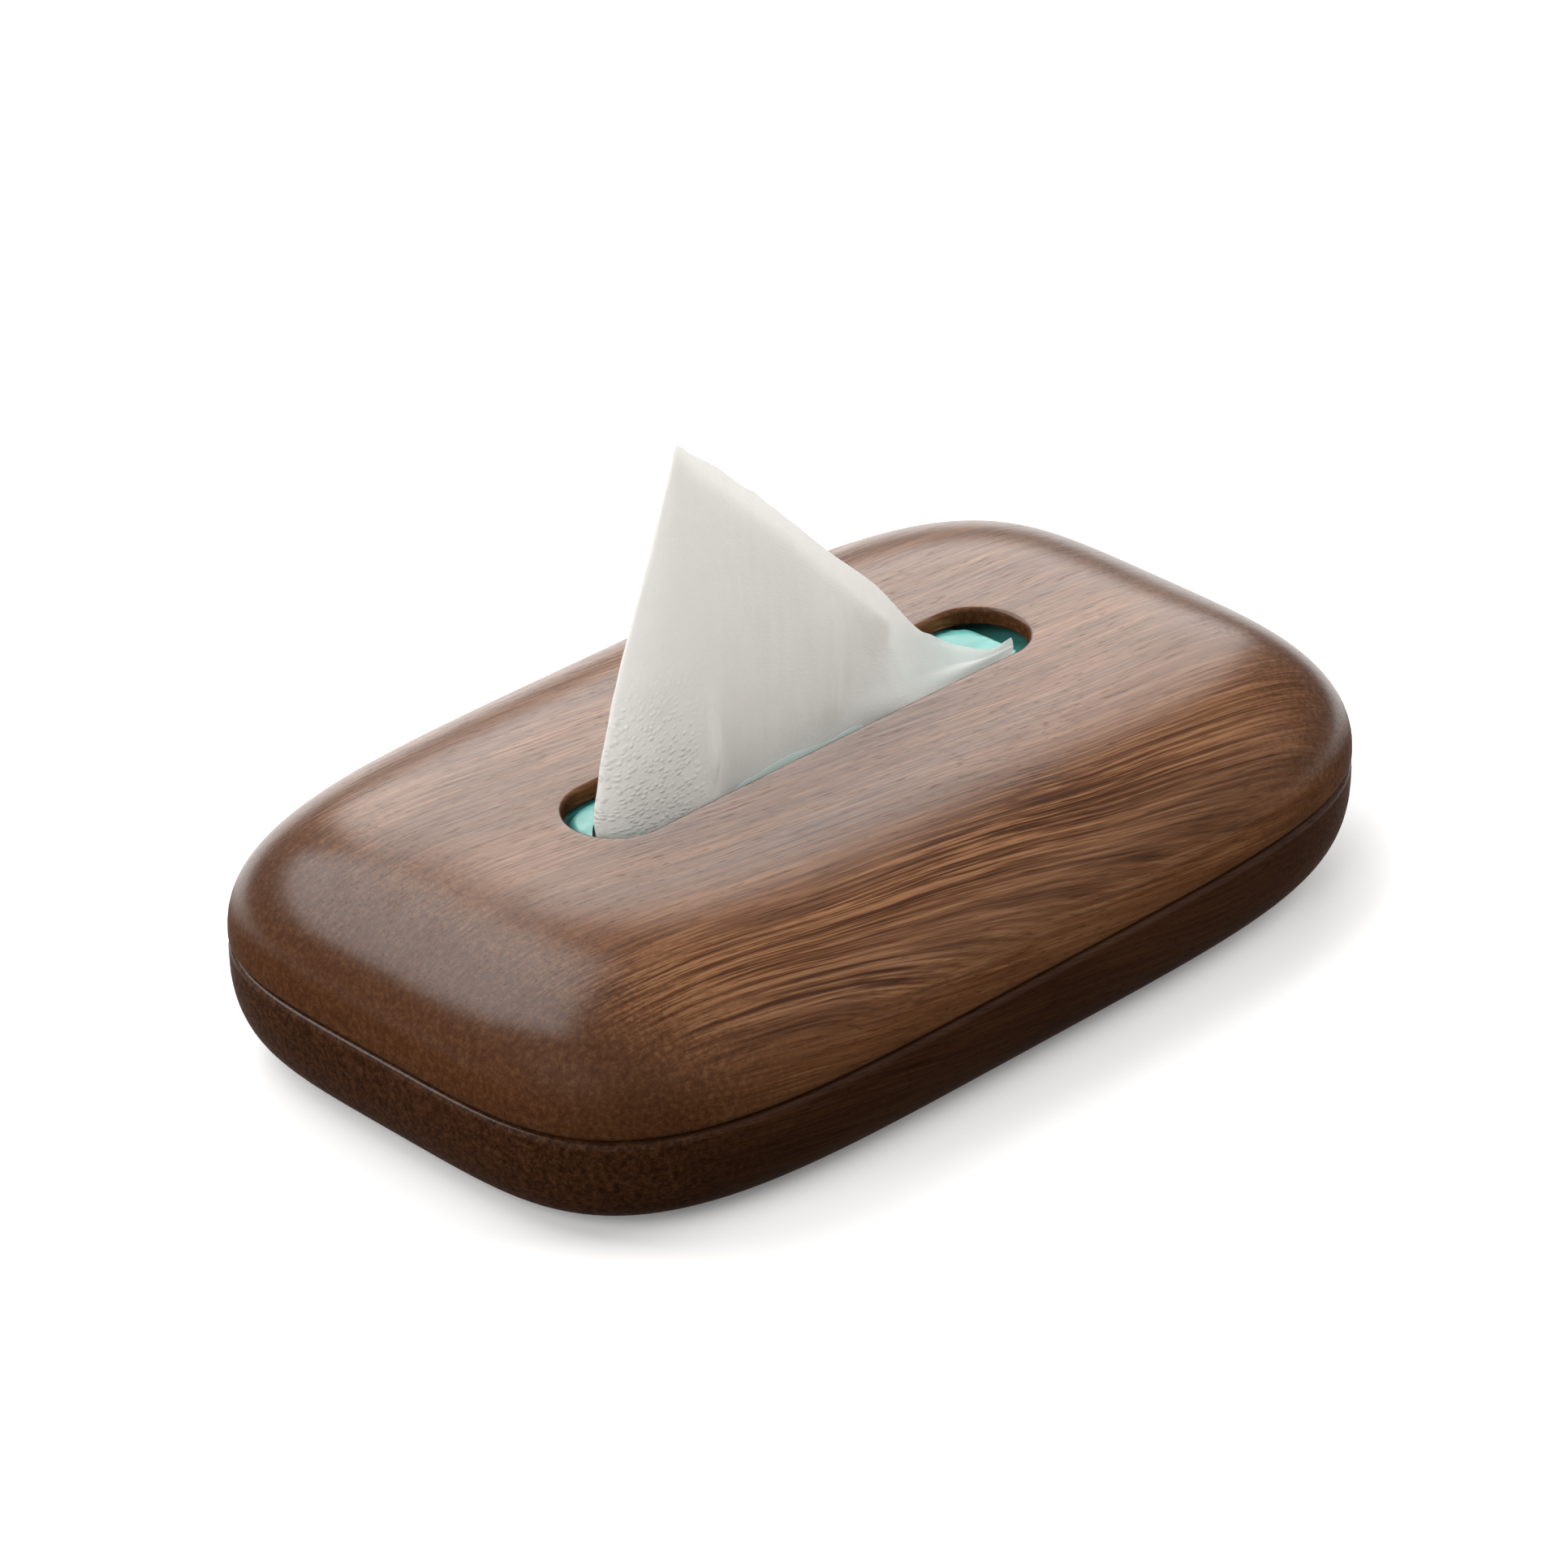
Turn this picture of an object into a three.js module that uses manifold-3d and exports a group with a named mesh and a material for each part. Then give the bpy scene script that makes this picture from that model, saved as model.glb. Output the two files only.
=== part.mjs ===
// A pebble-shaped tissue box cover in solid walnut: an upper cover with a dispensing slot, a base tray that it
// closes on, the magnets and feet let into them, and the soft refill pack inside with its pulled-up tissue.
// Millimetres, +Z up. The origin is on the table under the middle of the case, X runs along the case.
import * as THREE from "three";
import { mergeVertices } from "three/addons/utils/BufferGeometryUtils.js";
import Module from "manifold-3d";

const wasm = await Module();
wasm.setup();

// Refill pack, which the case is made round
const REFILL_LENGTH = 180;
const REFILL_WIDTH = 98;
const REFILL_HEIGHT = 41.3;
const REFILL_POWER = 7; // squareness of its plan
const REFILL_SHOULDER_RUN = 24; // how far its soft top edge draws in
const REFILL_SHOULDER_RISE = 16; // how far down its side that starts
const REFILL_HEEL = 7; // rounding of its bottom edge
const FILM = 0.6; // wrapper wall
const MOUTH_LENGTH = 104; // torn-open strip in the wrapper's top
const MOUTH_WIDTH = 15;
const STACK_SLACK = 0.5; // between the wrapper and the folded sheets

// Room round the refill, and the walls of the case
const END_ROOM = 21;
const SIDE_ROOM = 16.5;
const SEAT_GAP = 0.3; // between faces that rest on each other
const HEADROOM = 0.6;
const WALL = 6.5;
const FLOOR = 5.5;
const TOP_WALL = 4.5;

// Outside form of the case
const PLAN_POWER = 4.3; // squareness of the superellipse plan: 2 is an ellipse
const SEAM_HEIGHT = 23.8; // parting line above the table
const SEAM_CHAMFER = 1.2; // each half's share of the groove at the parting line
const WAIST_BAND = 0.6; // upright band beside each chamfer
const SHOULDER_RUN_X = 40.3; // how far the top edge rolls in at the ends
const SHOULDER_RUN_Y = 44.5; // and at the long sides
const SHOULDER_POWER = 2.2; // fullness of that roll: 2 is a quarter ellipse
const TOP_CROWN = 0.8; // rise of the top from its edge to its middle
const KEEL_RUN = 13.7; // how far the base draws in to its sole
const KEEL_POWER = 2.5;

// Inside form of the case
const CAVITY_POWER = 3.4; // rounder in plan than the outside, so the corners are thick enough for magnets
const SHOULDER_EASE = 4; // the ceiling rolls in this much less than the outside does
const FLOOR_ROUND = 10; // rounding between the tray's floor and its wall

// Locating lip of the tray, and the rebate that takes it in the cover
const LIP_WIDTH = 2.5;
const LIP_HEIGHT = 2.5;
const LIP_FIT = 0.3;

// Dispensing slot
const SLOT_LENGTH = 124.4;
const SLOT_WIDTH = 21.9;
const SLOT_CHAMFER = 1;

// Magnets, one pair in each corner of the rims
const MAGNET_DIAMETER = 5;
const MAGNET_THICKNESS = 2;
const MAGNET_SUNK = 0.2; // below the rim's face
const MAGNET_FIT = 0.3;

// Silicone feet in the sole
const FOOT_DIAMETER = 14;
const FOOT_THICKNESS = 2;
const FOOT_PROUD = 0.8;
const FOOT_SET_IN = 22; // from the edge of the sole
const FOOT_FIT = 0.3;

// Pulled-up tissue: a front panel that falls from a peak at one end to a tail at the other, and turns back there
const TISSUE_THICKNESS = 1;
const TISSUE_RISE = 73.5; // its peak above the top of the case
const TISSUE_PEAK_X = -33;
const TISSUE_SAG = 6; // how far its upper edge hangs below a straight line from peak to tail
const TISSUE_END_CLEAR = 6.2; // between its turned end and the end of the slot
const TISSUE_TAIL_CLEAR = 7; // between its tail and the other end of the slot
const TISSUE_FRONT_CLEAR = 3.3; // between its front panel and the front of the slot
const TISSUE_BOW = 2.3; // how far the middle of its front panel stands back from that
const TISSUE_BACK_CLEAR = 7.4; // between its turned-back layer and the back of the slot
const TISSUE_TURN = 9; // along the slot, from its turned end to where the front panel starts
const TISSUE_BACK_REACH = 42; // how far the turned-back layer reaches along the slot
const TISSUE_BACK_RISE = 22; // the low end of that layer's upper edge above the top of the case
const TISSUE_MOUTH_CLEAR = 4; // between its foot and each end of the wrapper's mouth
const TISSUE_MOUTH_SIDE_CLEAR = 2;
const TISSUE_FOLDS = 5; // soft upright folds along it
const TISSUE_FOLD_DEPTH = 0.9; // to each side of its middle, at the slot

// Fineness of the round shapes
const PLAN_POINTS = 64;
const REFILL_POINTS = 48;
const ROUND_STEPS = 8;
const INNER_STEPS = 5; // for rounds inside the case
const DISC_SIDES = 24;
const SLOT_ARC_POINTS = 14;
const TISSUE_COLUMNS = 35;
const TISSUE_FOOT_ROWS = 2;
const TISSUE_ROWS = 8;
const OVERCUT = 3; // how far a cutter runs past the face that it opens

// Sizes and levels that follow from those
const HALF_LENGTH = REFILL_LENGTH / 2 + END_ROOM + WALL;
const HALF_WIDTH = REFILL_WIDTH / 2 + SIDE_ROOM + WALL;
const SOLE_Z = FOOT_PROUD;
const FLOOR_Z = SOLE_Z + FLOOR;
const REFILL_Z = FLOOR_Z + SEAT_GAP;
const REFILL_TOP_Z = REFILL_Z + REFILL_HEIGHT;
const CEILING_Z = REFILL_TOP_Z + HEADROOM;
const TOP_Z = CEILING_Z + TOP_WALL;
const TRAY_RIM_Z = SEAM_HEIGHT - SEAT_GAP / 2;
const COVER_RIM_Z = SEAM_HEIGHT + SEAT_GAP / 2;
const WAIST_Z = COVER_RIM_Z + SEAM_CHAMFER + WAIST_BAND;
const STACK_TOP_Z = REFILL_TOP_Z - FILM - STACK_SLACK;

const material = (color, roughness, metalness = 0) =>
  new THREE.MeshStandardMaterial({ color, roughness, metalness });
const WALNUT = material(0x6b4630, 0.5);
const NICKEL = material(0xb9bcc0, 0.25, 1);
const SILICONE = material(0x2a2624, 0.85);
const MINT_FILM = material(0x5fc9b6, 0.35);
const TISSUE_PAPER = material(0xe9e8e3, 0.95);

const group = new THREE.Group();

function addPiece(name, geometry, finish) {
  const mesh = new THREE.Mesh(geometry, finish);
  mesh.name = name;
  group.add(mesh);
  return mesh;
}

// A closed geometry as a solid for joining and cutting, and back again
function solidOf(geometry) {
  const bare = geometry.clone();
  bare.deleteAttribute("normal");
  bare.deleteAttribute("uv");
  const merged = mergeVertices(bare, 1e-4);
  return new wasm.Manifold(
    new wasm.Mesh({
      numProp: 3,
      vertProperties: merged.attributes.position.array,
      triVerts: new Uint32Array(merged.index.array),
    }),
  );
}

function geometryOf(solid) {
  const mesh = solid.getMesh();
  const geometry = new THREE.BufferGeometry();
  geometry.setAttribute("position", new THREE.BufferAttribute(mesh.vertProperties, 3));
  geometry.setIndex(new THREE.BufferAttribute(mesh.triVerts, 1));
  geometry.computeVertexNormals();
  return geometry;
}

// Plan outlines, each a ring of points going round against the clock
function superellipse(halfX, halfY, power, count) {
  const lame = (value) => Math.sign(value) * Math.abs(value) ** (2 / power);
  return Array.from({ length: count }, (_, i) => {
    const angle = (2 * Math.PI * i) / count;
    return new THREE.Vector2(halfX * lame(Math.cos(angle)), halfY * lame(Math.sin(angle)));
  });
}

function stadium(length, width) {
  const radius = width / 2;
  const reach = length / 2 - radius;
  const arcs = new THREE.Path();
  arcs.absarc(reach, 0, radius, -Math.PI / 2, Math.PI / 2);
  arcs.absarc(-reach, 0, radius, Math.PI / 2, (3 * Math.PI) / 2);
  const points = arcs.getPoints(SLOT_ARC_POINTS);
  return points.filter((point, i) => i === 0 || point.distanceTo(points[i - 1]) > 1e-6);
}

// A closed skin through rings of equal count, lowest first, with a flat cap on each end
function loft(rings) {
  const count = rings[0].points.length;
  const positions = [];
  rings.forEach((ring) => ring.points.forEach((p) => positions.push(p.x, p.y, ring.z)));
  const index = [];
  for (let level = 0; level + 1 < rings.length; level++) {
    for (let i = 0; i < count; i++) {
      const a = level * count + i;
      const b = level * count + ((i + 1) % count);
      index.push(a, b, b + count, a, b + count, a + count);
    }
  }
  const last = rings.length - 1;
  positions.push(0, 0, rings[0].z, 0, 0, rings[last].z);
  const lowCentre = rings.length * count;
  for (let i = 0; i < count; i++) {
    const j = (i + 1) % count;
    index.push(lowCentre, j, i, lowCentre + 1, last * count + i, last * count + j);
  }
  const geometry = new THREE.BufferGeometry();
  geometry.setAttribute("position", new THREE.Float32BufferAttribute(positions, 3));
  geometry.setIndex(index);
  return geometry;
}

// A quarter round from upright to level: rise and run both go from 0 to 1
function quarterRound(power, steps = ROUND_STEPS) {
  return Array.from({ length: steps + 1 }, (_, i) => {
    const angle = (Math.PI / 2) * (i / steps);
    return { rise: Math.sin(angle) ** (2 / power), run: 1 - Math.cos(angle) ** (2 / power) };
  });
}

// Outside of the case at one level, drawn in by the given amounts
const caseRing = (z, insetX, insetY = insetX) => ({
  z,
  points: superellipse(HALF_LENGTH - insetX, HALF_WIDTH - insetY, PLAN_POWER, PLAN_POINTS),
});

// Inside of the case at one level
const cavityRing = (z, insetX, insetY = insetX) => ({
  z,
  points: superellipse(HALF_LENGTH - insetX, HALF_WIDTH - insetY, CAVITY_POWER, PLAN_POINTS),
});

function coverOutside() {
  const edgeZ = TOP_Z - TOP_CROWN;
  const shoulder = quarterRound(SHOULDER_POWER).map(({ rise, run }) =>
    caseRing(WAIST_Z + (edgeZ - WAIST_Z) * rise, SHOULDER_RUN_X * run, SHOULDER_RUN_Y * run),
  );
  const flatX = HALF_LENGTH - SHOULDER_RUN_X;
  const flatY = HALF_WIDTH - SHOULDER_RUN_Y;
  const crown = [2 / 3, 1 / 3].map((share) => ({
    z: TOP_Z - TOP_CROWN * share ** 2,
    points: superellipse(flatX * share, flatY * share, PLAN_POWER, PLAN_POINTS),
  }));
  const rim = [caseRing(COVER_RIM_Z, SEAM_CHAMFER), caseRing(COVER_RIM_Z + SEAM_CHAMFER, 0)];
  return loft([...rim, ...shoulder, ...crown]);
}

function coverCavity() {
  const roof = quarterRound(SHOULDER_POWER, INNER_STEPS).map(({ rise, run }) =>
    cavityRing(
      WAIST_Z + (CEILING_Z - WAIST_Z) * rise,
      WALL + (SHOULDER_RUN_X - SHOULDER_EASE) * run,
      WALL + (SHOULDER_RUN_Y - SHOULDER_EASE) * run,
    ),
  );
  return loft([cavityRing(COVER_RIM_Z - OVERCUT, WALL), ...roof]);
}

function slotCutter() {
  const ring = (z, growth) => ({
    z,
    points: stadium(SLOT_LENGTH + 2 * growth, SLOT_WIDTH + 2 * growth),
  });
  return loft([
    ring(CEILING_Z - OVERCUT, 0),
    ring(TOP_Z - SLOT_CHAMFER, 0),
    ring(TOP_Z + OVERCUT, SLOT_CHAMFER + OVERCUT),
  ]);
}

const rebateCutter = () =>
  loft([
    cavityRing(COVER_RIM_Z - OVERCUT, WALL - LIP_WIDTH - LIP_FIT),
    cavityRing(TRAY_RIM_Z + LIP_HEIGHT + LIP_FIT, WALL - LIP_WIDTH - LIP_FIT),
  ]);

function trayOutside() {
  const bandZ = TRAY_RIM_Z - SEAM_CHAMFER - WAIST_BAND;
  const keel = quarterRound(KEEL_POWER)
    .reverse()
    .map(({ rise, run }) => caseRing(bandZ - (bandZ - SOLE_Z) * rise, KEEL_RUN * run));
  const rim = [caseRing(TRAY_RIM_Z - SEAM_CHAMFER, 0), caseRing(TRAY_RIM_Z, SEAM_CHAMFER)];
  return loft([...keel, ...rim]);
}

const lipRing = () =>
  loft([
    cavityRing(TRAY_RIM_Z - OVERCUT, WALL - LIP_WIDTH),
    cavityRing(TRAY_RIM_Z + LIP_HEIGHT, WALL - LIP_WIDTH),
  ]);

function trayCavity() {
  const heel = quarterRound(2, INNER_STEPS)
    .reverse()
    .map(({ rise, run }) => cavityRing(FLOOR_Z + FLOOR_ROUND * (1 - rise), WALL + FLOOR_ROUND * run));
  return loft([...heel, cavityRing(TRAY_RIM_Z + LIP_HEIGHT + OVERCUT, WALL)]);
}

// A round disc standing on a level, for magnets, feet and their pockets
function disc(diameter, height, x, y, z) {
  const geometry = new THREE.CylinderGeometry(diameter / 2, diameter / 2, height, DISC_SIDES);
  geometry.rotateX(Math.PI / 2);
  geometry.translate(x, y, z + height / 2);
  return geometry;
}

const corners = [
  [-1, -1],
  [1, -1],
  [1, 1],
  [-1, 1],
];

// Magnets sit midway between the seam's chamfer and the lip, on the diagonal of the plan
const diagonalPoint = (inset, power) => {
  const [corner] = superellipse(1, 1, power, 8).slice(1);
  return new THREE.Vector2((HALF_LENGTH - inset) * corner.x, (HALF_WIDTH - inset) * corner.y);
};
const magnetAt = diagonalPoint(SEAM_CHAMFER, PLAN_POWER)
  .add(diagonalPoint(WALL - LIP_WIDTH - LIP_FIT, CAVITY_POWER))
  .multiplyScalar(0.5);
const magnetPocketDepth = MAGNET_SUNK + MAGNET_THICKNESS + MAGNET_FIT;
const magnetPocketDiameter = MAGNET_DIAMETER + 2 * MAGNET_FIT;

const footAt = new THREE.Vector2(HALF_LENGTH, HALF_WIDTH).subScalar(KEEL_RUN + FOOT_SET_IN);
const footPocketDepth = FOOT_THICKNESS - FOOT_PROUD + FOOT_FIT;
const footPocketDiameter = FOOT_DIAMETER + 2 * FOOT_FIT;

function upperCover() {
  let solid = solidOf(coverOutside());
  solid = solid.subtract(solidOf(coverCavity()));
  solid = solid.subtract(solidOf(rebateCutter()));
  solid = solid.subtract(solidOf(slotCutter()));
  for (const [sideX, sideY] of corners) {
    const x = sideX * magnetAt.x;
    const y = sideY * magnetAt.y;
    const depth = magnetPocketDepth + OVERCUT;
    solid = solid.subtract(solidOf(disc(magnetPocketDiameter, depth, x, y, COVER_RIM_Z - OVERCUT)));
  }
  return geometryOf(solid);
}

function baseTray() {
  let solid = solidOf(trayOutside()).add(solidOf(lipRing()));
  solid = solid.subtract(solidOf(trayCavity()));
  for (const [sideX, sideY] of corners) {
    const magnetZ = TRAY_RIM_Z - magnetPocketDepth;
    const magnetPocket = disc(
      magnetPocketDiameter,
      magnetPocketDepth + OVERCUT,
      sideX * magnetAt.x,
      sideY * magnetAt.y,
      magnetZ,
    );
    const footPocket = disc(
      footPocketDiameter,
      footPocketDepth + OVERCUT,
      sideX * footAt.x,
      sideY * footAt.y,
      SOLE_Z - OVERCUT,
    );
    solid = solid.subtract(solidOf(magnetPocket)).subtract(solidOf(footPocket));
  }
  return geometryOf(solid);
}

// The pillow form of the refill, drawn in all round by an inset, up to its own top
function refillForm(inset, topZ) {
  const halfX = REFILL_LENGTH / 2 - inset;
  const halfY = REFILL_WIDTH / 2 - inset;
  const lowZ = REFILL_Z + inset;
  const ring = (z, draw) => ({
    z,
    points: superellipse(halfX - draw, halfY - draw, REFILL_POWER, REFILL_POINTS),
  });
  const heel = quarterRound(2, INNER_STEPS)
    .reverse()
    .map(({ rise, run }) => ring(lowZ + REFILL_HEEL * (1 - rise), REFILL_HEEL * run));
  const shoulder = quarterRound(2, INNER_STEPS).map(({ rise, run }) =>
    ring(topZ - REFILL_SHOULDER_RISE * (1 - rise), REFILL_SHOULDER_RUN * run),
  );
  return loft([...heel, ...shoulder]);
}

function refillWrapper() {
  const mouth = stadium(MOUTH_LENGTH, MOUTH_WIDTH);
  const cutter = loft([
    { z: REFILL_TOP_Z - FILM - OVERCUT, points: mouth },
    { z: REFILL_TOP_Z + OVERCUT, points: mouth },
  ]);
  const film = solidOf(refillForm(0, REFILL_TOP_Z)).subtract(solidOf(refillForm(FILM, REFILL_TOP_Z - FILM)));
  return geometryOf(film.subtract(solidOf(cutter)));
}

const tissueStack = () => refillForm(FILM + STACK_SLACK, STACK_TOP_Z);

// The tissue's lines across it, from the low end of its turned-back layer round the turned end to its tail: its
// foot in the wrapper's mouth, its waist at the top of the slot, and its upper edge
function tissueLines() {
  const turnedX = -(SLOT_LENGTH / 2 - TISSUE_END_CLEAR);
  const tailX = SLOT_LENGTH / 2 - TISSUE_TAIL_CLEAR;
  const frontY = -(SLOT_WIDTH / 2 - TISSUE_FRONT_CLEAR);
  const backY = SLOT_WIDTH / 2 - TISSUE_BACK_CLEAR;
  const waist = [
    new THREE.Vector3(turnedX + TISSUE_BACK_REACH, backY, TOP_Z),
    new THREE.Vector3(turnedX + TISSUE_BACK_REACH / 2, backY, TOP_Z),
    new THREE.Vector3(turnedX, 0, TOP_Z),
    new THREE.Vector3(turnedX + TISSUE_TURN, frontY, TOP_Z),
    new THREE.Vector3((turnedX + tailX) / 2, frontY + TISSUE_BOW, TOP_Z),
    new THREE.Vector3(tailX, frontY + TISSUE_BOW, TOP_Z),
  ];
  const toMouth = new THREE.Vector2(
    (MOUTH_LENGTH / 2 - TISSUE_MOUTH_CLEAR) / Math.max(-turnedX, tailX),
    (MOUTH_WIDTH / 2 - TISSUE_MOUTH_SIDE_CLEAR) / Math.max(-frontY, backY),
  );
  const footZ = STACK_TOP_Z + SEAT_GAP + TISSUE_THICKNESS / 2;
  const foot = waist.map((p) => new THREE.Vector3(p.x * toMouth.x, p.y * toMouth.y, footZ));
  const peak = new THREE.Vector3(TISSUE_PEAK_X, 0, TOP_Z + TISSUE_RISE);
  const tail = new THREE.Vector3(tailX, frontY + TISSUE_BOW, TOP_Z - TOP_WALL / 2);
  const hang = peak.clone().lerp(tail, 0.5);
  hang.z -= 2 * TISSUE_SAG;
  const front = new THREE.QuadraticBezierCurve3(peak, hang, tail);
  const backLow = waist[0].clone();
  backLow.z += TISSUE_BACK_RISE;
  const edge = [backLow, backLow.clone().lerp(peak, 0.5), peak, ...[0.12, 0.55, 1].map((t) => front.getPoint(t))];
  return [foot, waist, edge].map((points) => new THREE.CatmullRomCurve3(points));
}

// The tissue as a closed sheet of even thickness about its middle surface, with folds that die out upwards
function tissueSheet() {
  const [foot, waist, edge] = tissueLines();
  const middle = (u, v) => {
    const at = new THREE.CatmullRomCurve3([foot.getPoint(u), waist.getPoint(u), edge.getPoint(u)]).getPoint(v);
    at.y += TISSUE_FOLD_DEPTH * Math.sin(2 * Math.PI * TISSUE_FOLDS * u) * Math.sin(Math.PI * v);
    return at;
  };
  const STEP = 1e-3;
  const normal = (u, v) => {
    const along = middle(Math.min(u + STEP, 1), v).sub(middle(Math.max(u - STEP, 0), v));
    const up = middle(u, Math.min(v + STEP, 1)).sub(middle(u, Math.max(v - STEP, 0)));
    return along.cross(up).normalize();
  };
  const footRows = Array.from({ length: TISSUE_FOOT_ROWS }, (_, i) => i / (2 * TISSUE_FOOT_ROWS));
  const upperRows = Array.from({ length: TISSUE_ROWS + 1 }, (_, i) => 0.5 + i / (2 * TISSUE_ROWS));
  const levels = [...footRows, ...upperRows];
  const columns = TISSUE_COLUMNS + 1;
  const rows = levels.length;
  const positions = [];
  for (const side of [0.5, -0.5]) {
    for (const v of levels) {
      for (let column = 0; column < columns; column++) {
        const u = column / TISSUE_COLUMNS;
        const p = middle(u, v).addScaledVector(normal(u, v), side * TISSUE_THICKNESS);
        positions.push(p.x, p.y, p.z);
      }
    }
  }
  const outer = (row, column) => row * columns + column;
  const inner = (row, column) => columns * rows + outer(row, column);
  const index = [];
  const quad = (a, b, c, d) => index.push(a, b, c, a, c, d);
  const end = columns - 1;
  const top = rows - 1;
  for (let row = 0; row < top; row++) {
    for (let column = 0; column < end; column++) {
      quad(outer(row, column), outer(row, column + 1), outer(row + 1, column + 1), outer(row + 1, column));
      quad(inner(row, column + 1), inner(row, column), inner(row + 1, column), inner(row + 1, column + 1));
    }
    quad(inner(row, 0), outer(row, 0), outer(row + 1, 0), inner(row + 1, 0));
    quad(outer(row, end), inner(row, end), inner(row + 1, end), outer(row + 1, end));
  }
  for (let column = 0; column < end; column++) {
    quad(inner(0, column), inner(0, column + 1), outer(0, column + 1), outer(0, column));
    quad(outer(top, column), outer(top, column + 1), inner(top, column + 1), inner(top, column));
  }
  const geometry = new THREE.BufferGeometry();
  geometry.setAttribute("position", new THREE.Float32BufferAttribute(positions, 3));
  geometry.setIndex(index);
  return geometry;
}

addPiece("upper_cover", upperCover(), WALNUT);
addPiece("base_tray", baseTray(), WALNUT);
corners.forEach(([sideX, sideY], i) => {
  const magnetX = sideX * magnetAt.x;
  const magnetY = sideY * magnetAt.y;
  const coverMagnetZ = COVER_RIM_Z + MAGNET_SUNK;
  const trayMagnetZ = TRAY_RIM_Z - MAGNET_SUNK - MAGNET_THICKNESS;
  const number = i + 1;
  const magnet = (z) => disc(MAGNET_DIAMETER, MAGNET_THICKNESS, magnetX, magnetY, z);
  addPiece(`cover_magnet_${number}`, magnet(coverMagnetZ), NICKEL);
  addPiece(`tray_magnet_${number}`, magnet(trayMagnetZ), NICKEL);
  const foot = disc(FOOT_DIAMETER, FOOT_THICKNESS, sideX * footAt.x, sideY * footAt.y, SOLE_Z - FOOT_PROUD);
  addPiece(`foot_pad_${number}`, foot, SILICONE);
});
addPiece("refill_wrapper", refillWrapper(), MINT_FILM);
addPiece("tissue_stack", tissueStack(), TISSUE_PAPER);
addPiece("pulled_tissue", tissueSheet(), TISSUE_PAPER);

export default group;
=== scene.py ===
"""Looks of a pebble-shaped walnut tissue case: its cover and tray, their magnets and feet, and the
soft refill pack with the tissue drawn up through the slot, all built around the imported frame."""

import math

import bmesh
import bpy
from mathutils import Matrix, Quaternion, Vector, kdtree, noise


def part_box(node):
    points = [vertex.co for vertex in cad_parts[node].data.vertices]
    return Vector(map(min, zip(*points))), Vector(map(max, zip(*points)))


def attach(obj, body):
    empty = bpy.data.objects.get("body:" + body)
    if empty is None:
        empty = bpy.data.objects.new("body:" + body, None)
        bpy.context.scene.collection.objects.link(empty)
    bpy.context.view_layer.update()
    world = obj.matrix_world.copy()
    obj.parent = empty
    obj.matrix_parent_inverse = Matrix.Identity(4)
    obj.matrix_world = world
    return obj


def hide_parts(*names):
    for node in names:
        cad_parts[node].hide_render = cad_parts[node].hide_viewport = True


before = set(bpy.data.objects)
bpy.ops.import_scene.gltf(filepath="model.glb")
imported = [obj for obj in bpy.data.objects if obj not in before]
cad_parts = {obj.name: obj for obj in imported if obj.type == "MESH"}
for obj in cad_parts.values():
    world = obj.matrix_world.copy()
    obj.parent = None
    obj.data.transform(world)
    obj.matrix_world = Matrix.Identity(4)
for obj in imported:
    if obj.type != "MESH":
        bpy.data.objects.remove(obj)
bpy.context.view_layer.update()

bl_info = {
    "name": "Walnut Tissue Case",
    "version": (1, 0, 0),
    "blender": (4, 5, 0),
    "location": "View3D > Sidebar > Tissue Case",
    "description": "Models a walnut tissue case with its refill pack around a packed frame",
    "category": "Object",
}

MM = 0.001
CENTRE = (0.0, 0.0, 0.0)
COVER_LOW, COVER_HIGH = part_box("upper_cover")
TRAY_LOW, TRAY_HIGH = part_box("base_tray")
WRAPPER_LOW, WRAPPER_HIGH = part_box("refill_wrapper")
STACK_LOW, STACK_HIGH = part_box("tissue_stack")
CORNERS = range(1, 5)

# Two rings at one level are drawn a hair apart, by which a bridge tells their direction
HAIR = 0.05 * MM
# How near to a level its points lie
NEAR = 0.01 * MM
# How far a pocket's cutter stands out of the wood
CUTTER_CLEAR = 2 * MM
# Fineness of the modelled rings and rounds
CASE_POINTS = 256
PACK_POINTS = 240
STACK_POINTS = 120
DISC_POINTS = 64
RIM_STEPS = 5
# The power of a plain round, and the angles in degrees above which edges stay sharp
ROUND = 2.0
HARD_ANGLE = 35.0
SOFT_ANGLE = 60.0
# The upward part of a face's normal at which the rubbed polish starts, and over which it grows
POLISH = (0.22, 0.4)
# A disc's bevel steps, and the shares of its radius from its edge to its dish and down into that
BEVEL_STEPS = 4
DISH_INSET, DISH_SLOPE = 0.3, 0.08


def number(name, description, default):
    return bpy.props.FloatProperty(name=name, description=description, default=default)


def length(name, description, default):
    """A length property in metres, given in millimetres."""
    return bpy.props.FloatProperty(
        name=name, description=description, default=default * MM, unit="LENGTH", precision=5
    )


def colour(name, description, default):
    return bpy.props.FloatVectorProperty(
        name=name, description=description, default=default, subtype="COLOR", min=0.0, max=1.0
    )


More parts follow.
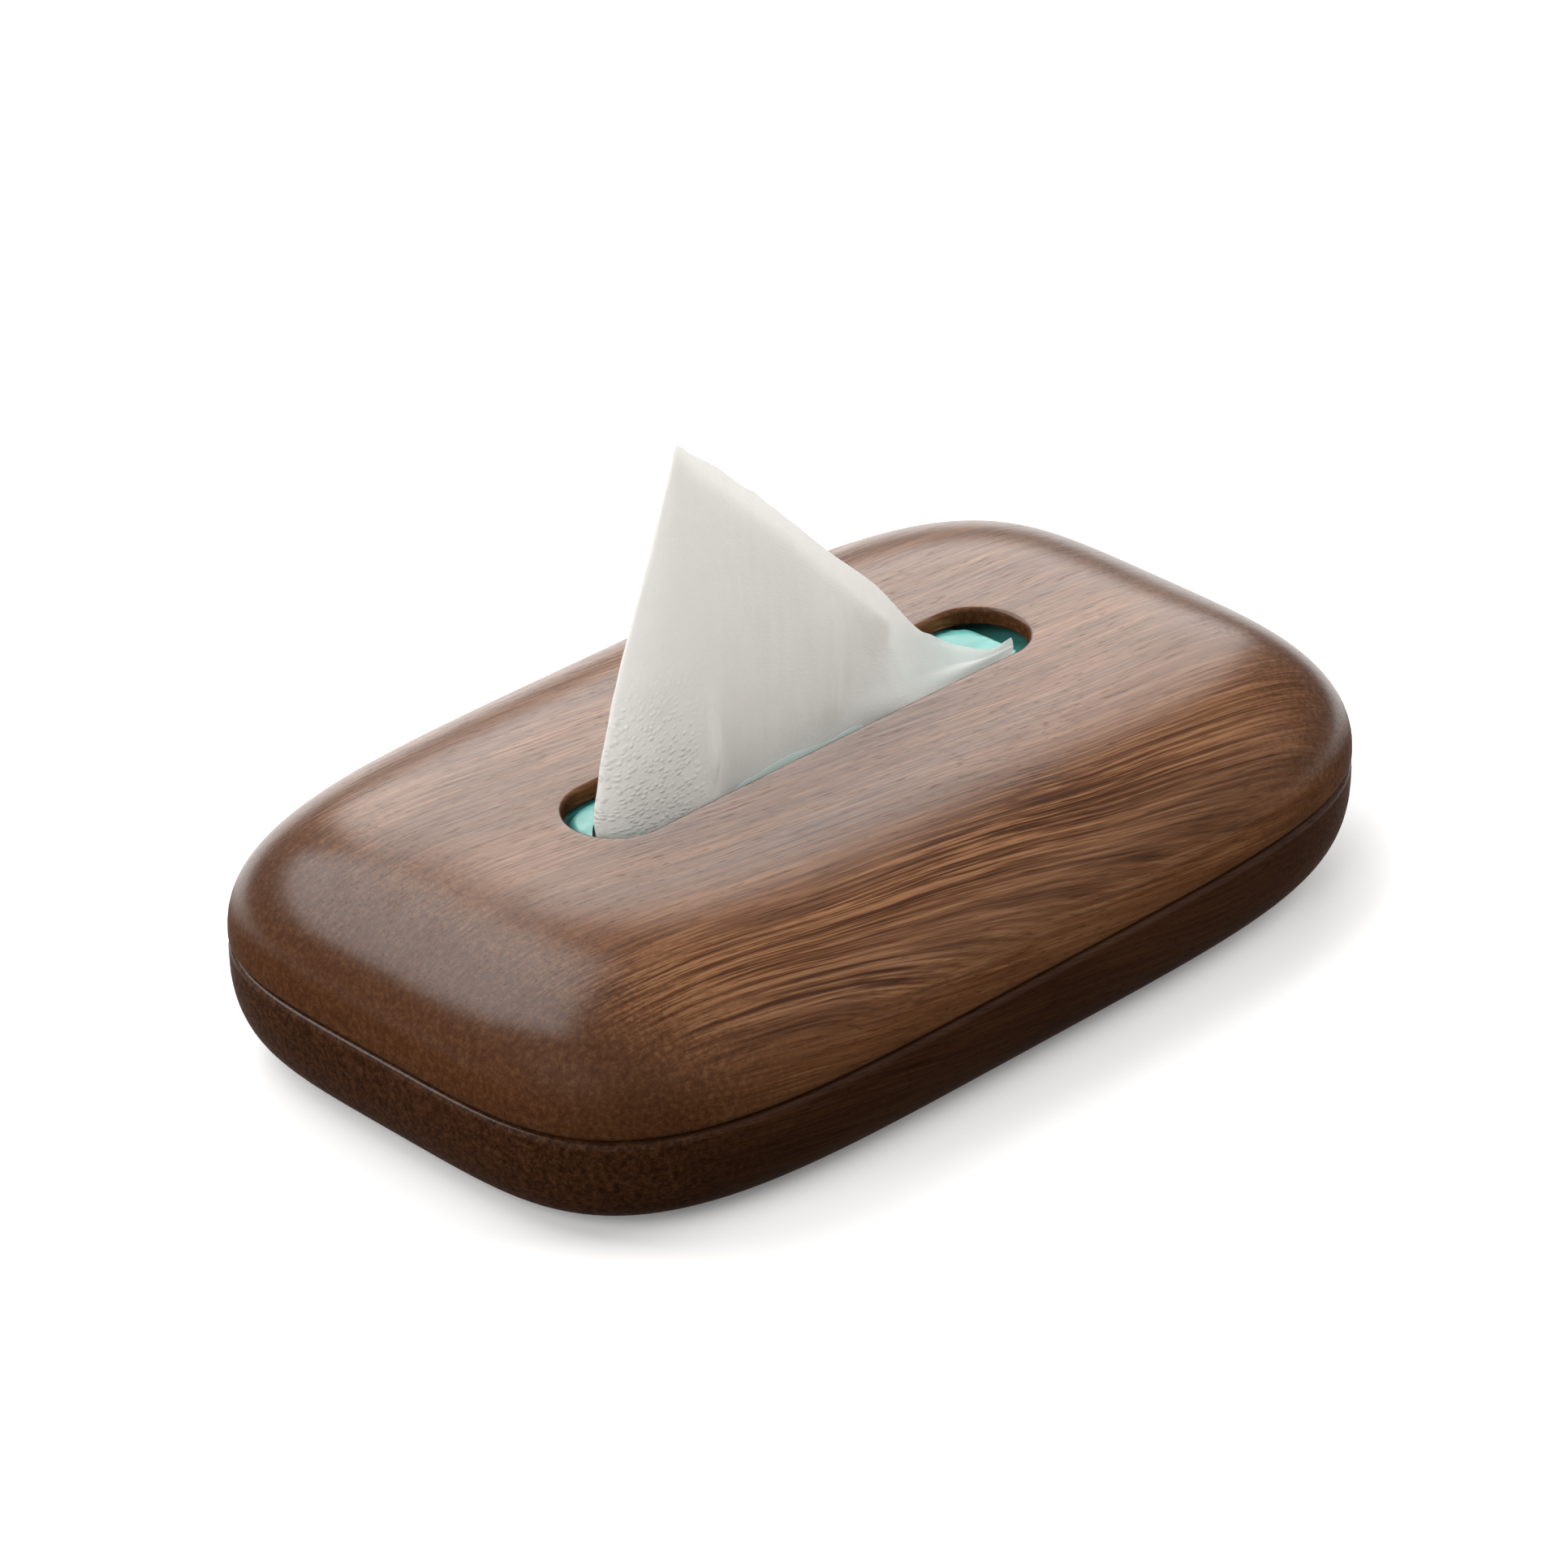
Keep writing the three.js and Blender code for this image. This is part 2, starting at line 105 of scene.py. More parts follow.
class TissueCaseForm(bpy.types.PropertyGroup):
    """Sizes of the walnut case that the frame's boxes don't give"""

    plan_power: number("Plan power", "Squareness of the outside plan, where 2 is an ellipse", 4.3)
    cavity_power: number("Cavity power", "Squareness of the inside plan", 3.4)
    wall: length("Wall", "Thickness of the side walls", 6.5)
    ceiling: length("Top wall", "Thickness of the cover's top", 4.5)
    floor: length("Floor", "Thickness of the tray's floor", 5.5)
    floor_round: length("Floor round", "Rounding between the tray's floor and its wall", 10.0)
    seam_round: length("Seam round", "Rounding of each rim at the parting line", 1.5)
    waist_band: length("Waist band", "Upright band beside each rounded rim", 0.6)
    shoulder_run_x: length("Shoulder at ends", "How far the top rolls in at the ends", 40.3)
    shoulder_run_y: length("Shoulder at sides", "How far the top rolls in at the long sides", 44.5)
    shoulder_power: number("Shoulder power", "Fullness of the roll, where 2 is an ellipse", 2.2)
    shoulder_ease: length("Shoulder ease", "How much less the ceiling rolls in than the top", 4.0)
    crown: length("Crown", "Rise of the top from its edge to its middle", 0.8)
    keel_run: length("Keel", "How far the tray draws in to its sole", 13.7)
    keel_power: number("Keel power", "Fullness of the tray's draw-in", 2.5)
    lip_width: length("Lip width", "Width of the tray's locating lip", 2.5)
    lip_height: length("Lip height", "Height of the tray's locating lip", 2.5)
    lip_fit: length("Lip fit", "Gap between the lip and the cover's rebate", 0.3)
    slot_length: length("Slot length", "Length of the dispensing slot", 124.4)
    slot_width: length("Slot width", "Width of the dispensing slot", 21.9)
    slot_round: length("Slot round", "Rounding of the slot's upper edge", 1.1)
    magnet_pocket: length("Magnet pocket", "Diameter of the magnet pockets", 5.6)
    magnet_pocket_depth: length("Magnet pocket depth", "Depth of the magnet pockets", 2.5)
    foot_pocket: length("Foot pocket", "Diameter of the foot recesses", 14.6)
    foot_pocket_depth: length("Foot pocket depth", "Depth of the foot recesses", 1.5)


class TissueRefillForm(bpy.types.PropertyGroup):
    """Sizes of the soft refill pack and of its tissue"""

    pack_power: number("Pack power", "Squareness of the pack's plan", 7.0)
    shoulder_run: length("Pack shoulder run", "How far the pack's top edge draws in", 24.0)
    shoulder_rise: length("Pack shoulder rise", "How far down its side that starts", 16.0)
    heel: length("Pack heel", "Rounding of the pack's bottom edge", 7.0)
    film: length("Film", "Thickness of the wrapper's film", 0.12)
    swell: length("Swell", "How far the film swells up into the slot", 2.2)
    lip_rise: length("Lip rise", "How far the mouth's front lip stands up", 2.8)
    corner_dip: length("Corner dip", "How far the film sinks at the slot's right end", 2.6)
    crease: length("Crease", "Depth of the film's soft creases", 0.7)
    tissue: length("Tissue", "Thickness of the paper", 0.16)


class TissueCaseFinish(bpy.types.PropertyGroup):
    """Colours of the finishes"""

    walnut_dark: colour("Walnut dark", "Late wood and pores of the cover", (0.048, 0.0175, 0.007))
    walnut_middle: colour("Walnut middle", "Main tone of the cover", (0.125, 0.051, 0.021))
    walnut_light: colour("Walnut light", "Early wood of the cover", (0.245, 0.117, 0.054))
    # The tray's tones are a somewhat darker board's, darkened further to about a third of the
    # cover's. That extra darkness is painted shade of the tray, which faces down and away from the
    # lamps
    tray_shaded_dark: colour("Tray dark", "Late wood and pores of the tray", (0.016, 0.0057, 0.0025))
    tray_shaded_middle: colour("Tray middle", "Main tone of the tray", (0.039, 0.0148, 0.0063))
    tray_shaded_light: colour("Tray light", "Early wood of the tray", (0.070, 0.0300, 0.0138))
    film_tint: colour("Film", "Wrapper film", (0.058, 0.26, 0.228))
    film_pale: colour("Film pale", "Wrapper film where it lies slack", (0.11, 0.385, 0.35))
    film_lip: colour("Film lip", "Wrapper film where it stretches over its lip", (0.6, 0.7, 0.68))
    paper: colour("Paper", "Tissue paper", (0.935, 0.932, 0.917))
    # The paper's shade tone is its random mottle, and also painted shade in the hollows between the
    # embossed dots
    paper_shade: colour("Paper shade", "Tissue paper in its hollows", (0.87, 0.868, 0.853))
    nickel: colour("Nickel", "Plating of the magnets", (0.34, 0.335, 0.32))
    silicone: colour("Silicone", "Feet", (0.028, 0.026, 0.025))


# Shares, lines and outlines


def smooth_share(value):
    value = min(max(value, 0.0), 1.0)
    return value * value * (3 - 2 * value)


def grown(value, start, width):
    """A share that grows over a width from a start."""
    return smooth_share((value - start) / width)


def rising(value, start, width):
    """A share that grows over a width from a start, both in millimetres."""
    return grown(value, start * MM, width * MM)


def falling(value, end, width):
    """A share that shrinks over a width to an end, both in millimetres."""
    return smooth_share((end * MM - value) / (width * MM))


def hump(away, width):
    """A soft hump of 1 in its middle, with its width in millimetres."""
    return math.exp(-((away / (width * MM)) ** 2))


def waves(p, scale, shift=CENTRE):
    """Where a point lies in a noise with so many waves a metre along each axis."""
    return Vector([part * many + more for part, many, more in zip(p, scale, shift)])


def quarter_round(power, steps):
    """Shares of rise and run from upright to level, without the start."""
    angles = [math.pi / 2 * i / steps for i in range(1, steps + 1)]
    return [(math.sin(a) ** (2 / power), 1 - max(math.cos(a), 0.0) ** (2 / power)) for a in angles]


def quarter_back(power, steps):
    """The same shares from level back to upright, without the start."""
    return [(0.0, 0.0), *quarter_round(power, steps)][-2::-1]


def superellipse_point(p, power):
    """Where a point of the unit circle goes on the unit superellipse, along its own ray."""
    flat = math.hypot(p.x, p.y)
    across = (abs(p.x / flat) ** power + abs(p.y / flat) ** power) ** (-1.0 / power)
    return Vector((p.x / flat * across, p.y / flat * across, p.z))


def stadium_point(p, reach, radius):
    """Where a point goes on a stadium outline, straight away from the stadium's spine."""
    spine = min(max(p.x, -reach), reach)
    away = Vector((p.x - spine, p.y)).normalized()
    return Vector((spine + away.x * radius, away.y * radius, p.z))


def slot_size(form):
    """The slot's radius, and the reach of its spine from the middle."""
    radius = form.slot_width / 2
    return radius, form.slot_length / 2 - radius


def shares_along(points):
    """The share of a line's length at each of its points."""
    lengths = [0.0]
    for a, b in zip(points, points[1:]):
        lengths.append(lengths[-1] + (b - a).length)
    return [part / lengths[-1] for part in lengths]


def spline_point(points, shares, share):
    """A point on the smooth line that passes each point at its share."""
    i = max(k for k in range(len(points) - 1) if share >= shares[k] or k == 0)
    span = shares[i + 1] - shares[i]
    t = (share - shares[i]) / span
    p1, p2 = points[i], points[i + 1]
    before, after = span, span
    p0, p3 = p1 * 2 - p2, p2 * 2 - p1
    if i > 0:
        p0, before = points[i - 1], shares[i] - shares[i - 1]
    if i + 2 < len(points):
        p3, after = points[i + 2], shares[i + 2] - shares[i + 1]
    leave = ((p1 - p0) / before - (p2 - p0) / (before + span) + (p2 - p1) / span) * span
    reach = ((p2 - p1) / span - (p3 - p1) / (span + after) + (p3 - p2) / after) * span
    return (
        p1
        + leave * t
        + (p2 * 3 - p1 * 3 - leave * 2 - reach) * t**2
        + (p1 * 2 - p2 * 2 + leave + reach) * t**3
    )


# Modelling by hand: rings that are drawn, extruded and bridged


def pick(piece):
    bpy.ops.object.select_all(action="DESELECT")
    piece.select_set(True)
    bpy.context.view_layer.objects.active = piece


def add_piece(name, primitive, **sizes):
    """A new object from one of the mesh primitives."""
    bpy.ops.object.select_all(action="DESELECT")
    primitive(location=CENTRE, **sizes)
    piece = bpy.context.object
    piece.name = piece.data.name = name
    return piece


def edit_mesh():
    return bmesh.from_edit_mesh(bpy.context.object.data)


def move_selected(place):
    """Moves each selected point of the mesh in edit mode to where place puts it."""
    for point in edit_mesh().verts:
        if point.select:
            point.co = place(point.co)
    bmesh.update_edit_mesh(bpy.context.object.data)


def select_only(kind, test):
    """Selects those edges or faces of the mesh in edit mode that pass a test."""
    bpy.ops.mesh.select_mode(type=kind)
    bpy.ops.mesh.select_all(action="DESELECT")
    mesh = edit_mesh()
    for part in mesh.edges if kind == "EDGE" else mesh.faces:
        if test(part):
            part.select_set(True)
    bmesh.update_edit_mesh(bpy.context.object.data)


def selected_size():
    points = [v.co for v in edit_mesh().verts if v.select]
    return max(p.x for p in points), max(p.y for p in points), points[0].z


def draw_ring(half, inset, z, power, count):
    """Adds a superellipse ring to the mesh in edit mode, and leaves only that selected."""
    bpy.ops.mesh.select_all(action="DESELECT")
    bpy.ops.mesh.primitive_circle_add(vertices=count, radius=1.0, location=CENTRE)
    move_selected(lambda p: superellipse_point(p, power))
    size = (half.x - inset, half.y - inset, 1.0)
    bpy.ops.transform.resize(value=size, center_override=CENTRE)
    bpy.ops.transform.translate(value=(0.0, 0.0, z))


def start_piece(name, half, inset, z, power, count):
    """A new object whose mesh is one ring, left in edit mode with the ring selected."""
    piece = add_piece(name, bpy.ops.mesh.primitive_circle_add, vertices=3, radius=1.0)
    bpy.ops.object.mode_set(mode="EDIT")
    bpy.ops.mesh.select_mode(type="VERT")
    bpy.ops.mesh.select_all(action="SELECT")
    bpy.ops.mesh.delete(type="VERT")
    draw_ring(half, inset, z, power, count)
    return piece


def pull_ring(half_x, half_y, z):
    """Extrudes the selected ring, and sizes and lifts the new one."""
    old_x, old_y, old_z = selected_size()
    bpy.ops.mesh.extrude_region()
    size = (half_x / old_x, half_y / old_y, 1.0)
    bpy.ops.transform.resize(value=size, center_override=(0.0, 0.0, old_z))
    bpy.ops.transform.translate(value=(0.0, 0.0, z - old_z))


def pull_inset(half, inset, z):
    pull_ring(half.x - inset, half.y - inset, z)


def pull_points(place):
    """Extrudes the selected ring, and places each point of the new one."""
    bpy.ops.mesh.extrude_region()
    move_selected(place)


def select_open_edges(test):
    def is_open(edge):
        return (edge.is_boundary or edge.is_wire) and all(test(v.co) for v in edge.verts)

    select_only("EDGE", is_open)


def bridge_open_edges(test, cuts=0):
    """Joins two open rings."""
    select_open_edges(test)
    if "FINISHED" not in bpy.ops.mesh.bridge_edge_loops(number_cuts=cuts, interpolation="LINEAR"):
        raise RuntimeError("the open rings could not be joined")


def cap_open_edges(test):
    select_open_edges(test)
    bpy.ops.mesh.edge_face_add()


def shade(piece, smooth_angle=HARD_ANGLE):
    pick(piece)
    bpy.ops.object.shade_smooth_by_angle(angle=math.radians(smooth_angle))


def leave_mesh():
    """Turns the faces outwards and leaves edit mode."""
    bpy.ops.mesh.select_all(action="SELECT")
    bpy.ops.mesh.normals_make_consistent(inside=False)
    bpy.ops.object.mode_set(mode="OBJECT")


def apply_modifiers(piece):
    pick(piece)
    for modifier in list(piece.modifiers):
        bpy.ops.object.modifier_apply(modifier=modifier.name)


def thicken(piece, thickness, offset):
    wall = piece.modifiers.new("thickness", "SOLIDIFY")
    wall.thickness = thickness
    wall.offset = offset
    apply_modifiers(piece)


def node_middle(node):
    low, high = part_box(node)
    return (low + high) / 2


def add_disc(name, diameter, depth):
    cylinder = bpy.ops.mesh.primitive_cylinder_add
    return add_piece(name, cylinder, vertices=DISC_POINTS, radius=diameter / 2, depth=depth)


def cut_pockets(piece, nodes, diameter, low_z, high_z):
    """Cuts a round pocket between two levels at each node's place."""
    for node in nodes:
        cutter = add_disc("pocket_cutter", diameter, high_z - low_z)
        cutter.location = (*node_middle(node).xy, (low_z + high_z) / 2)
        cut = piece.modifiers.new("pocket", "BOOLEAN")
        cut.operation, cut.solver, cut.object = "DIFFERENCE", "EXACT", cutter
        apply_modifiers(piece)
        bpy.data.objects.remove(cutter)


def mark_faces(piece):
    """Keeps on each point how far it faces along the grain, and how far its rubbed polish goes."""
    ends = piece.data.attributes.new("end_grain", "FLOAT", "POINT")
    polish = piece.data.attributes.new("polish", "FLOAT", "POINT")
    for point, end, rubbed in zip(piece.data.vertices, ends.data, polish.data):
        end.value = abs(point.normal.x)
        rubbed.value = grown(point.normal.z, *POLISH)


def finish_piece(piece, body, slot, material, *nodes):
    piece.data.materials.clear()
    piece.data.materials.append(material)
    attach(piece, body)
    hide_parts(*nodes)


# Materials


class NodeKit:
    """A node tree, and short ways to add to it."""

    def __init__(self, tree):
        self.tree = tree

    def wire(self, node, inputs):
        """Links a node's inputs, or sets them."""
        for socket, value in inputs.items():
            if isinstance(value, bpy.types.NodeSocket):
                self.tree.links.new(value, node.inputs[socket])
            else:
                node.inputs[socket].default_value = value
        return node

    def put(self, kind, inputs=None, **settings):
        """Adds a node with its settings and inputs."""
        node = self.tree.nodes.new(kind)
        for name, value in settings.items():
            setattr(node, name, value)
        return self.wire(node, inputs or {})

    def shared(self, name, inputs):
        """Adds a shared node group, and gives its outputs."""
        return self.put("ShaderNodeGroup", inputs, node_tree=shared_group(name)).outputs

    def place(self, coordinates="Object"):
        return self.put("ShaderNodeTexCoord").outputs[coordinates]

    def attribute(self, name):
        return self.put("ShaderNodeAttribute", attribute_name=name).outputs["Fac"]

    def maths(self, operation, *values, clamp=False):
        inputs = dict(enumerate(values))
        node = self.put("ShaderNodeMath", inputs, operation=operation, use_clamp=clamp)
        return node.outputs[0]

    def scaled(self, value, gain, base=0.0, clamp=False):
        """A value times a gain, on top of a base."""
        return self.maths("MULTIPLY_ADD", value, gain, base, clamp=clamp)

    def ramp(self, value, *stops):
        """A value through (position, value) stops."""
        node = self.put("ShaderNodeValToRGB", {0: value})
        elements = node.color_ramp.elements
        while len(elements) < len(stops):
            elements.new(0.5)
        for element, (position, grey) in zip(elements, stops):
            element.position = position
            element.color = (grey, grey, grey, 1.0)
        return node.outputs[0]

    def contrast(self, value, low, high):
        return self.ramp(value, (low, 0.0), (high, 1.0))

    def mix(self, share, first, second):
        """A colour between two, each of them a link or a colour."""
        inputs = {0: share}
        for socket, value in ((6, first), (7, second)):
            linked = isinstance(value, bpy.types.NodeSocket)
            inputs[socket] = value if linked else (*value, 1.0)
        return self.put("ShaderNodeMix", inputs, data_type="RGBA").outputs[2]

    def noise(self, vector, scale, detail, roughness=0.55, shift=CENTRE):
        """Noise whose features are 1 / scale long on each axis."""
        inputs = {"Vector": vector, "Scale": scale, "Location": shift}
        mapped = self.put("ShaderNodeMapping", inputs).outputs[0]
        inputs = {"Vector": mapped, "Scale": 1.0, "Detail": detail, "Roughness": roughness}
        return self.put("ShaderNodeTexNoise", inputs).outputs[0]

    def face_noise(self, vector, faces_up, scale, *settings):
        """Noise that keeps its long streaks on the upper faces and on the sides alike."""
        along, fine, deep = scale
        above = self.noise(vector, (along, fine, deep), *settings)
        beside = self.noise(vector, (along, deep, fine), *settings)
        return self.scaled(self.maths("SUBTRACT", above, beside), faces_up, beside)

    def bump(self, shader, height, strength, distance):
        inputs = {"Height": height, "Strength": strength, "Distance": distance}
        self.wire(shader, {"Normal": self.put("ShaderNodeBump", inputs).outputs[0]})


# The plank in metres: how its grain leaves the X axis, where its pith lies, and its growth rings
GRAIN_TILT = (0.14, 0.12)
GRAIN_BOW = -0.5
PITH = (0.030, -0.085)
RINGS_PER_METRE = 120.0
# The grain's strength by its scaled height: faint low down and on the top, clear on the shoulder
LIVELY_SCALE = 18.0
LIVELY = ((0.468, 0.3), (0.79, 1.0), (0.85, 1.0), (0.91, 0.38))


def walnut_grain(kit, where, end_grain, end_shade, polish, dark, middle, light):
    """Solid walnut along X, cut a little off its axis: growth rings, fibre streaks, open pores."""
    along, wide, high = kit.put("ShaderNodeSeparateXYZ", {0: where}).outputs
    sway = kit.noise(where, (8.0, 15.0, 15.0), 2.0, shift=(3.1, 0.4, 1.7))
    ripple = kit.noise(where, (30.0, 90.0, 90.0), 2.0, shift=(0.9, 5.2, 2.4))
    drift = kit.scaled(sway, 0.008, kit.scaled(ripple, 0.0008))
    bow = kit.scaled(kit.maths("POWER", along, 2.0), GRAIN_BOW)
    across = kit.maths("ADD", kit.scaled(along, GRAIN_TILT[0], wide), bow)
    across = kit.maths("ADD", across, drift)
    up = kit.maths("ADD", kit.scaled(along, GRAIN_TILT[1], high), drift)
    fibre = kit.put("ShaderNodeCombineXYZ", {0: along, 1: across, 2: up}).outputs[0]
    squares = [
        kit.maths("POWER", kit.maths("SUBTRACT", place, pith), 2.0)
        for place, pith in zip((across, up), PITH)
    ]
    from_pith = kit.maths("SQRT", kit.maths("ADD", *squares))
    ring_share = kit.maths("FRACT", kit.scaled(from_pith, RINGS_PER_METRE))
    rings = kit.ramp(ring_share, (0.0, 0.25), (0.55, 0.75), (0.85, 0.6), (1.0, 0.25))
    bands = kit.noise(fibre, (5.0, 95.0, 95.0), 3.0, 0.55, (1.3, 7.7, 4.1))
    streaks = kit.face_noise(fibre, polish, (17.0, 1250.0, 200.0), 4.0, 0.66, (8.3, 1.7, 2.6))
    lines = kit.face_noise(fibre, polish, (34.0, 2400.0, 450.0), 3.0, 0.6, (6.1, 2.2, 8.8))
    figure = kit.noise(fibre, (12.0, 60.0, 60.0), 2.0, 0.5, (4.4, 3.9, 6.2))
    speckle = kit.noise(where, (850.0, 850.0, 850.0), 3.0, 0.7, (0.2, 0.5, 0.7))
    pores = kit.noise(fibre, (90.0, 2300.0, 2300.0), 2.0, 0.5, (2.7, 9.3, 0.8))
    pores = kit.contrast(pores, 0.58, 0.70)
    bands = kit.contrast(bands, 0.32, 0.68)
    streaks, lines, speckle = (kit.contrast(v, 0.34, 0.66) for v in (streaks, lines, speckle))
    end_share = kit.contrast(end_grain, 0.05, 0.45)
    side_share = kit.scaled(end_share, -0.85, 1.0)

    # The fibres' light and dark: fine streaks on the sides and the top, specks at the ends
    strength = kit.scaled(kit.ramp(figure, (0.38, 0.45), (0.62, 1.0)), side_share)
    strength = kit.scaled(strength, kit.ramp(kit.scaled(high, LIVELY_SCALE), *LIVELY))
    streaky = kit.scaled(streaks, 1.8, kit.scaled(lines, 1.2))
    streaky = kit.scaled(kit.maths("SUBTRACT", streaky, 1.5), strength)
    broad = kit.scaled(kit.maths("SUBTRACT", bands, 0.5), side_share)
    speckled = kit.scaled(kit.maths("SUBTRACT", speckle, 0.5), end_share)
    tone = kit.scaled(rings, 0.12, 0.435)
    tone = kit.scaled(broad, 0.3, tone)
    tone = kit.scaled(speckled, 0.9, tone)
    tone = kit.maths("ADD", streaky, tone)
    wood = kit.mix(kit.scaled(tone, 2.0, clamp=True), dark, middle)
    wood = kit.mix(kit.scaled(tone, 2.0, -1.0, clamp=True), wood, light)
    wood = kit.mix(kit.scaled(pores, 0.6), wood, dark)
    rubbed = kit.scaled(pores, -0.3, kit.scaled(lines, 0.2, 0.7))
    return {
        "Color": kit.mix(kit.scaled(end_share, end_shade), wood, dark),
        "Roughness": kit.scaled(lines, 0.07, kit.scaled(pores, 0.14, 0.42)),
        "Coat": kit.scaled(rubbed, polish, clamp=True),
        "Height": kit.scaled(pores, -0.7, kit.scaled(lines, 0.25, 0.7)),
    }


def paper_crepe(kit, where, emboss):
    """Soft tissue paper: crepe ripples across the sheet, loose fibres and fine embossed dots."""
    ripples = kit.noise(where, (420.0, 1900.0, 1.0), 3.0, 0.6)
    fibres = kit.noise(where, (900.0, 900.0, 1.0), 5.0, 0.7, (4.0, 2.0, 0.0))
    clouds = kit.noise(where, (60.0, 60.0, 1.0), 3.0, 0.5, (1.0, 8.0, 0.0))
    dots = kit.put("ShaderNodeTexVoronoi", {"Vector": where, "Scale": 780.0})
    bosses = kit.ramp(dots.outputs["Distance"], (0.15, 1.0), (0.55, 0.0))
    bosses = kit.scaled(bosses, emboss)
    # The embossed dots are painted lighter than the paper between them: a painted highlight on the
    # dots and painted shade in the hollows, over the random mottle of clouds and fibres
    pale = kit.scaled(bosses, 0.35, kit.scaled(clouds, 0.4, 0.17))
    height = kit.scaled(fibres, 0.12, kit.scaled(ripples, 0.2))
    return {
        "Shade": kit.scaled(fibres, 0.45, pale, clamp=True),
        "Height": kit.scaled(bosses, 0.8, height),
    }


def fine_grit(kit, where, scale):
    """Fine unevenness of a moulded, plated or filmed surface."""
    clouds = {"Vector": where, "Scale": 70.0, "Detail": 3.0}
    grit = {"Vector": where, "Scale": scale, "Detail": 4.0}
    return {
        "Clouds": kit.put("ShaderNodeTexNoise", clouds).outputs[0],
        "Grit": kit.put("ShaderNodeTexNoise", grit).outputs[0],
    }


# Each shared group's builder, its inputs in the builder's order, and its outputs
GROUPS = {
    "walnut grain": (
        walnut_grain,
        {
            "Vector": "Vector",
            "End Grain": "Float",
            "End Shade": "Float",
            "Polish": "Float",
            "Dark": "Color",
            "Middle": "Color",
            "Light": "Color",
        },
        {"Color": "Color", "Roughness": "Float", "Coat": "Float", "Height": "Float"},
    ),
    "paper crepe": (
        paper_crepe,
        {"Vector": "Vector", "Emboss": "Float"},
        {"Shade": "Float", "Height": "Float"},
    ),
    "fine grit": (
        fine_grit,
        {"Vector": "Vector", "Scale": "Float"},
        {"Clouds": "Float", "Grit": "Float"},
    ),
}


def shared_group(name):
    """The node group of that name, which is made on its first use."""
    group = bpy.data.node_groups.get(name)
    if group is None:
        build, inputs, outputs = GROUPS[name]
        group = bpy.data.node_groups.new(name, "ShaderNodeTree")
        for side, sockets in (("INPUT", inputs), ("OUTPUT", outputs)):
            for socket, kind in sockets.items():
                group.interface.new_socket(
                    name=socket, in_out=side, socket_type=f"NodeSocket{kind}"
                )
        kit = NodeKit(group)
        given = kit.put("NodeGroupInput").outputs
        kit.wire(kit.put("NodeGroupOutput"), build(kit, *(given[socket] for socket in inputs)))
    return group


def new_material(name):
    """A material with only its output and its main shader, and a kit to add to it."""
    material = bpy.data.materials.new(name)
    material.use_nodes = True
    kit = NodeKit(material.node_tree)
    kit.tree.nodes.clear()
    shader = kit.put("ShaderNodeBsdfPrincipled")
    kit.put("ShaderNodeOutputMaterial", {"Surface": shader.outputs[0]})
    return material, kit, shader


def walnut_material(name, dark, middle, light, end_shade):
    """Oiled walnut, dull on its sides and rubbed to a soft polish where it faces up."""
    material, kit, shader = new_material(name)
    inputs = {
        "Vector": kit.place(),
        "End Grain": kit.attribute("end_grain"),
        "End Shade": end_shade,
        "Polish": kit.attribute("polish"),
        "Dark": (*dark, 1.0),
        "Middle": (*middle, 1.0),
        "Light": (*light, 1.0),
    }
    grain = kit.shared("walnut grain", inputs)
    looks = {
        "Base Color": grain["Color"],
        "Roughness": grain["Roughness"],
        "Coat Weight": grain["Coat"],
        "Coat Roughness": 0.25,
        "Specular IOR Level": 0.005,
    }
    kit.wire(shader, looks)
    kit.bump(shader, grain["Height"], 0.35, 0.06 * MM)
    return material


def paper_material(name, finish, coordinates):
    """Thin paper, which also lets light through from behind."""
    material, kit, shader = new_material(name)
    inputs = {"Vector": kit.place(coordinates), "Emboss": kit.attribute("emboss")}
    paper = kit.shared("paper crepe", inputs)
    # The tone carries the painted highlight and shade of the embossed dots as well as the paper's
    # mottle
    tone = kit.mix(paper["Shade"], finish.paper_shade, finish.paper)
    kit.wire(shader, {"Base Color": tone, "Roughness": 0.95, "Specular IOR Level": 0.15})
    kit.bump(shader, paper["Height"], 1.0, 0.4 * MM)
    output = shader.outputs[0].links[0].to_node
    behind = kit.put("ShaderNodeBsdfTranslucent", {"Color": tone})
    sides = {0: 0.6, 1: shader.outputs[0], 2: behind.outputs[0]}
    kit.wire(output, {"Surface": kit.put("ShaderNodeMixShader", sides).outputs[0]})
    return material


def gritty_material(name, grit_scale, tones, dull, relief, metallic=0.0):
    """A finish whose tone follows soft clouds, and whose gloss and relief follow fine grit. Dull is
    the grit's share and a base, and relief is a bump's strength and distance."""
    material, kit, shader = new_material(name)
    grit = kit.shared("fine grit", {"Vector": kit.place(), "Scale": grit_scale})
    looks = {
        "Base Color": kit.mix(grit["Clouds"], *tones),
        "Roughness": kit.scaled(grit["Grit"], *dull),
        "Metallic": metallic,
    }
    kit.wire(shader, looks)
    kit.bump(shader, grit["Grit"], *relief)
    return material


def nickel_material(nickel):
    return gritty_material(
        "nickel_plate",
        grit_scale=2600.0,
        tones=(nickel * 0.8, nickel),
        dull=(0.2, 0.42),
        relief=(0.2, 0.02 * MM),
        metallic=1.0,
    )


def silicone_material(silicone):
    return gritty_material(
        "foot_silicone",
        grit_scale=3200.0,
        tones=(silicone, silicone * 1.9),
        dull=(0.2, 0.6),
        relief=(0.3, 0.05 * MM),
    )


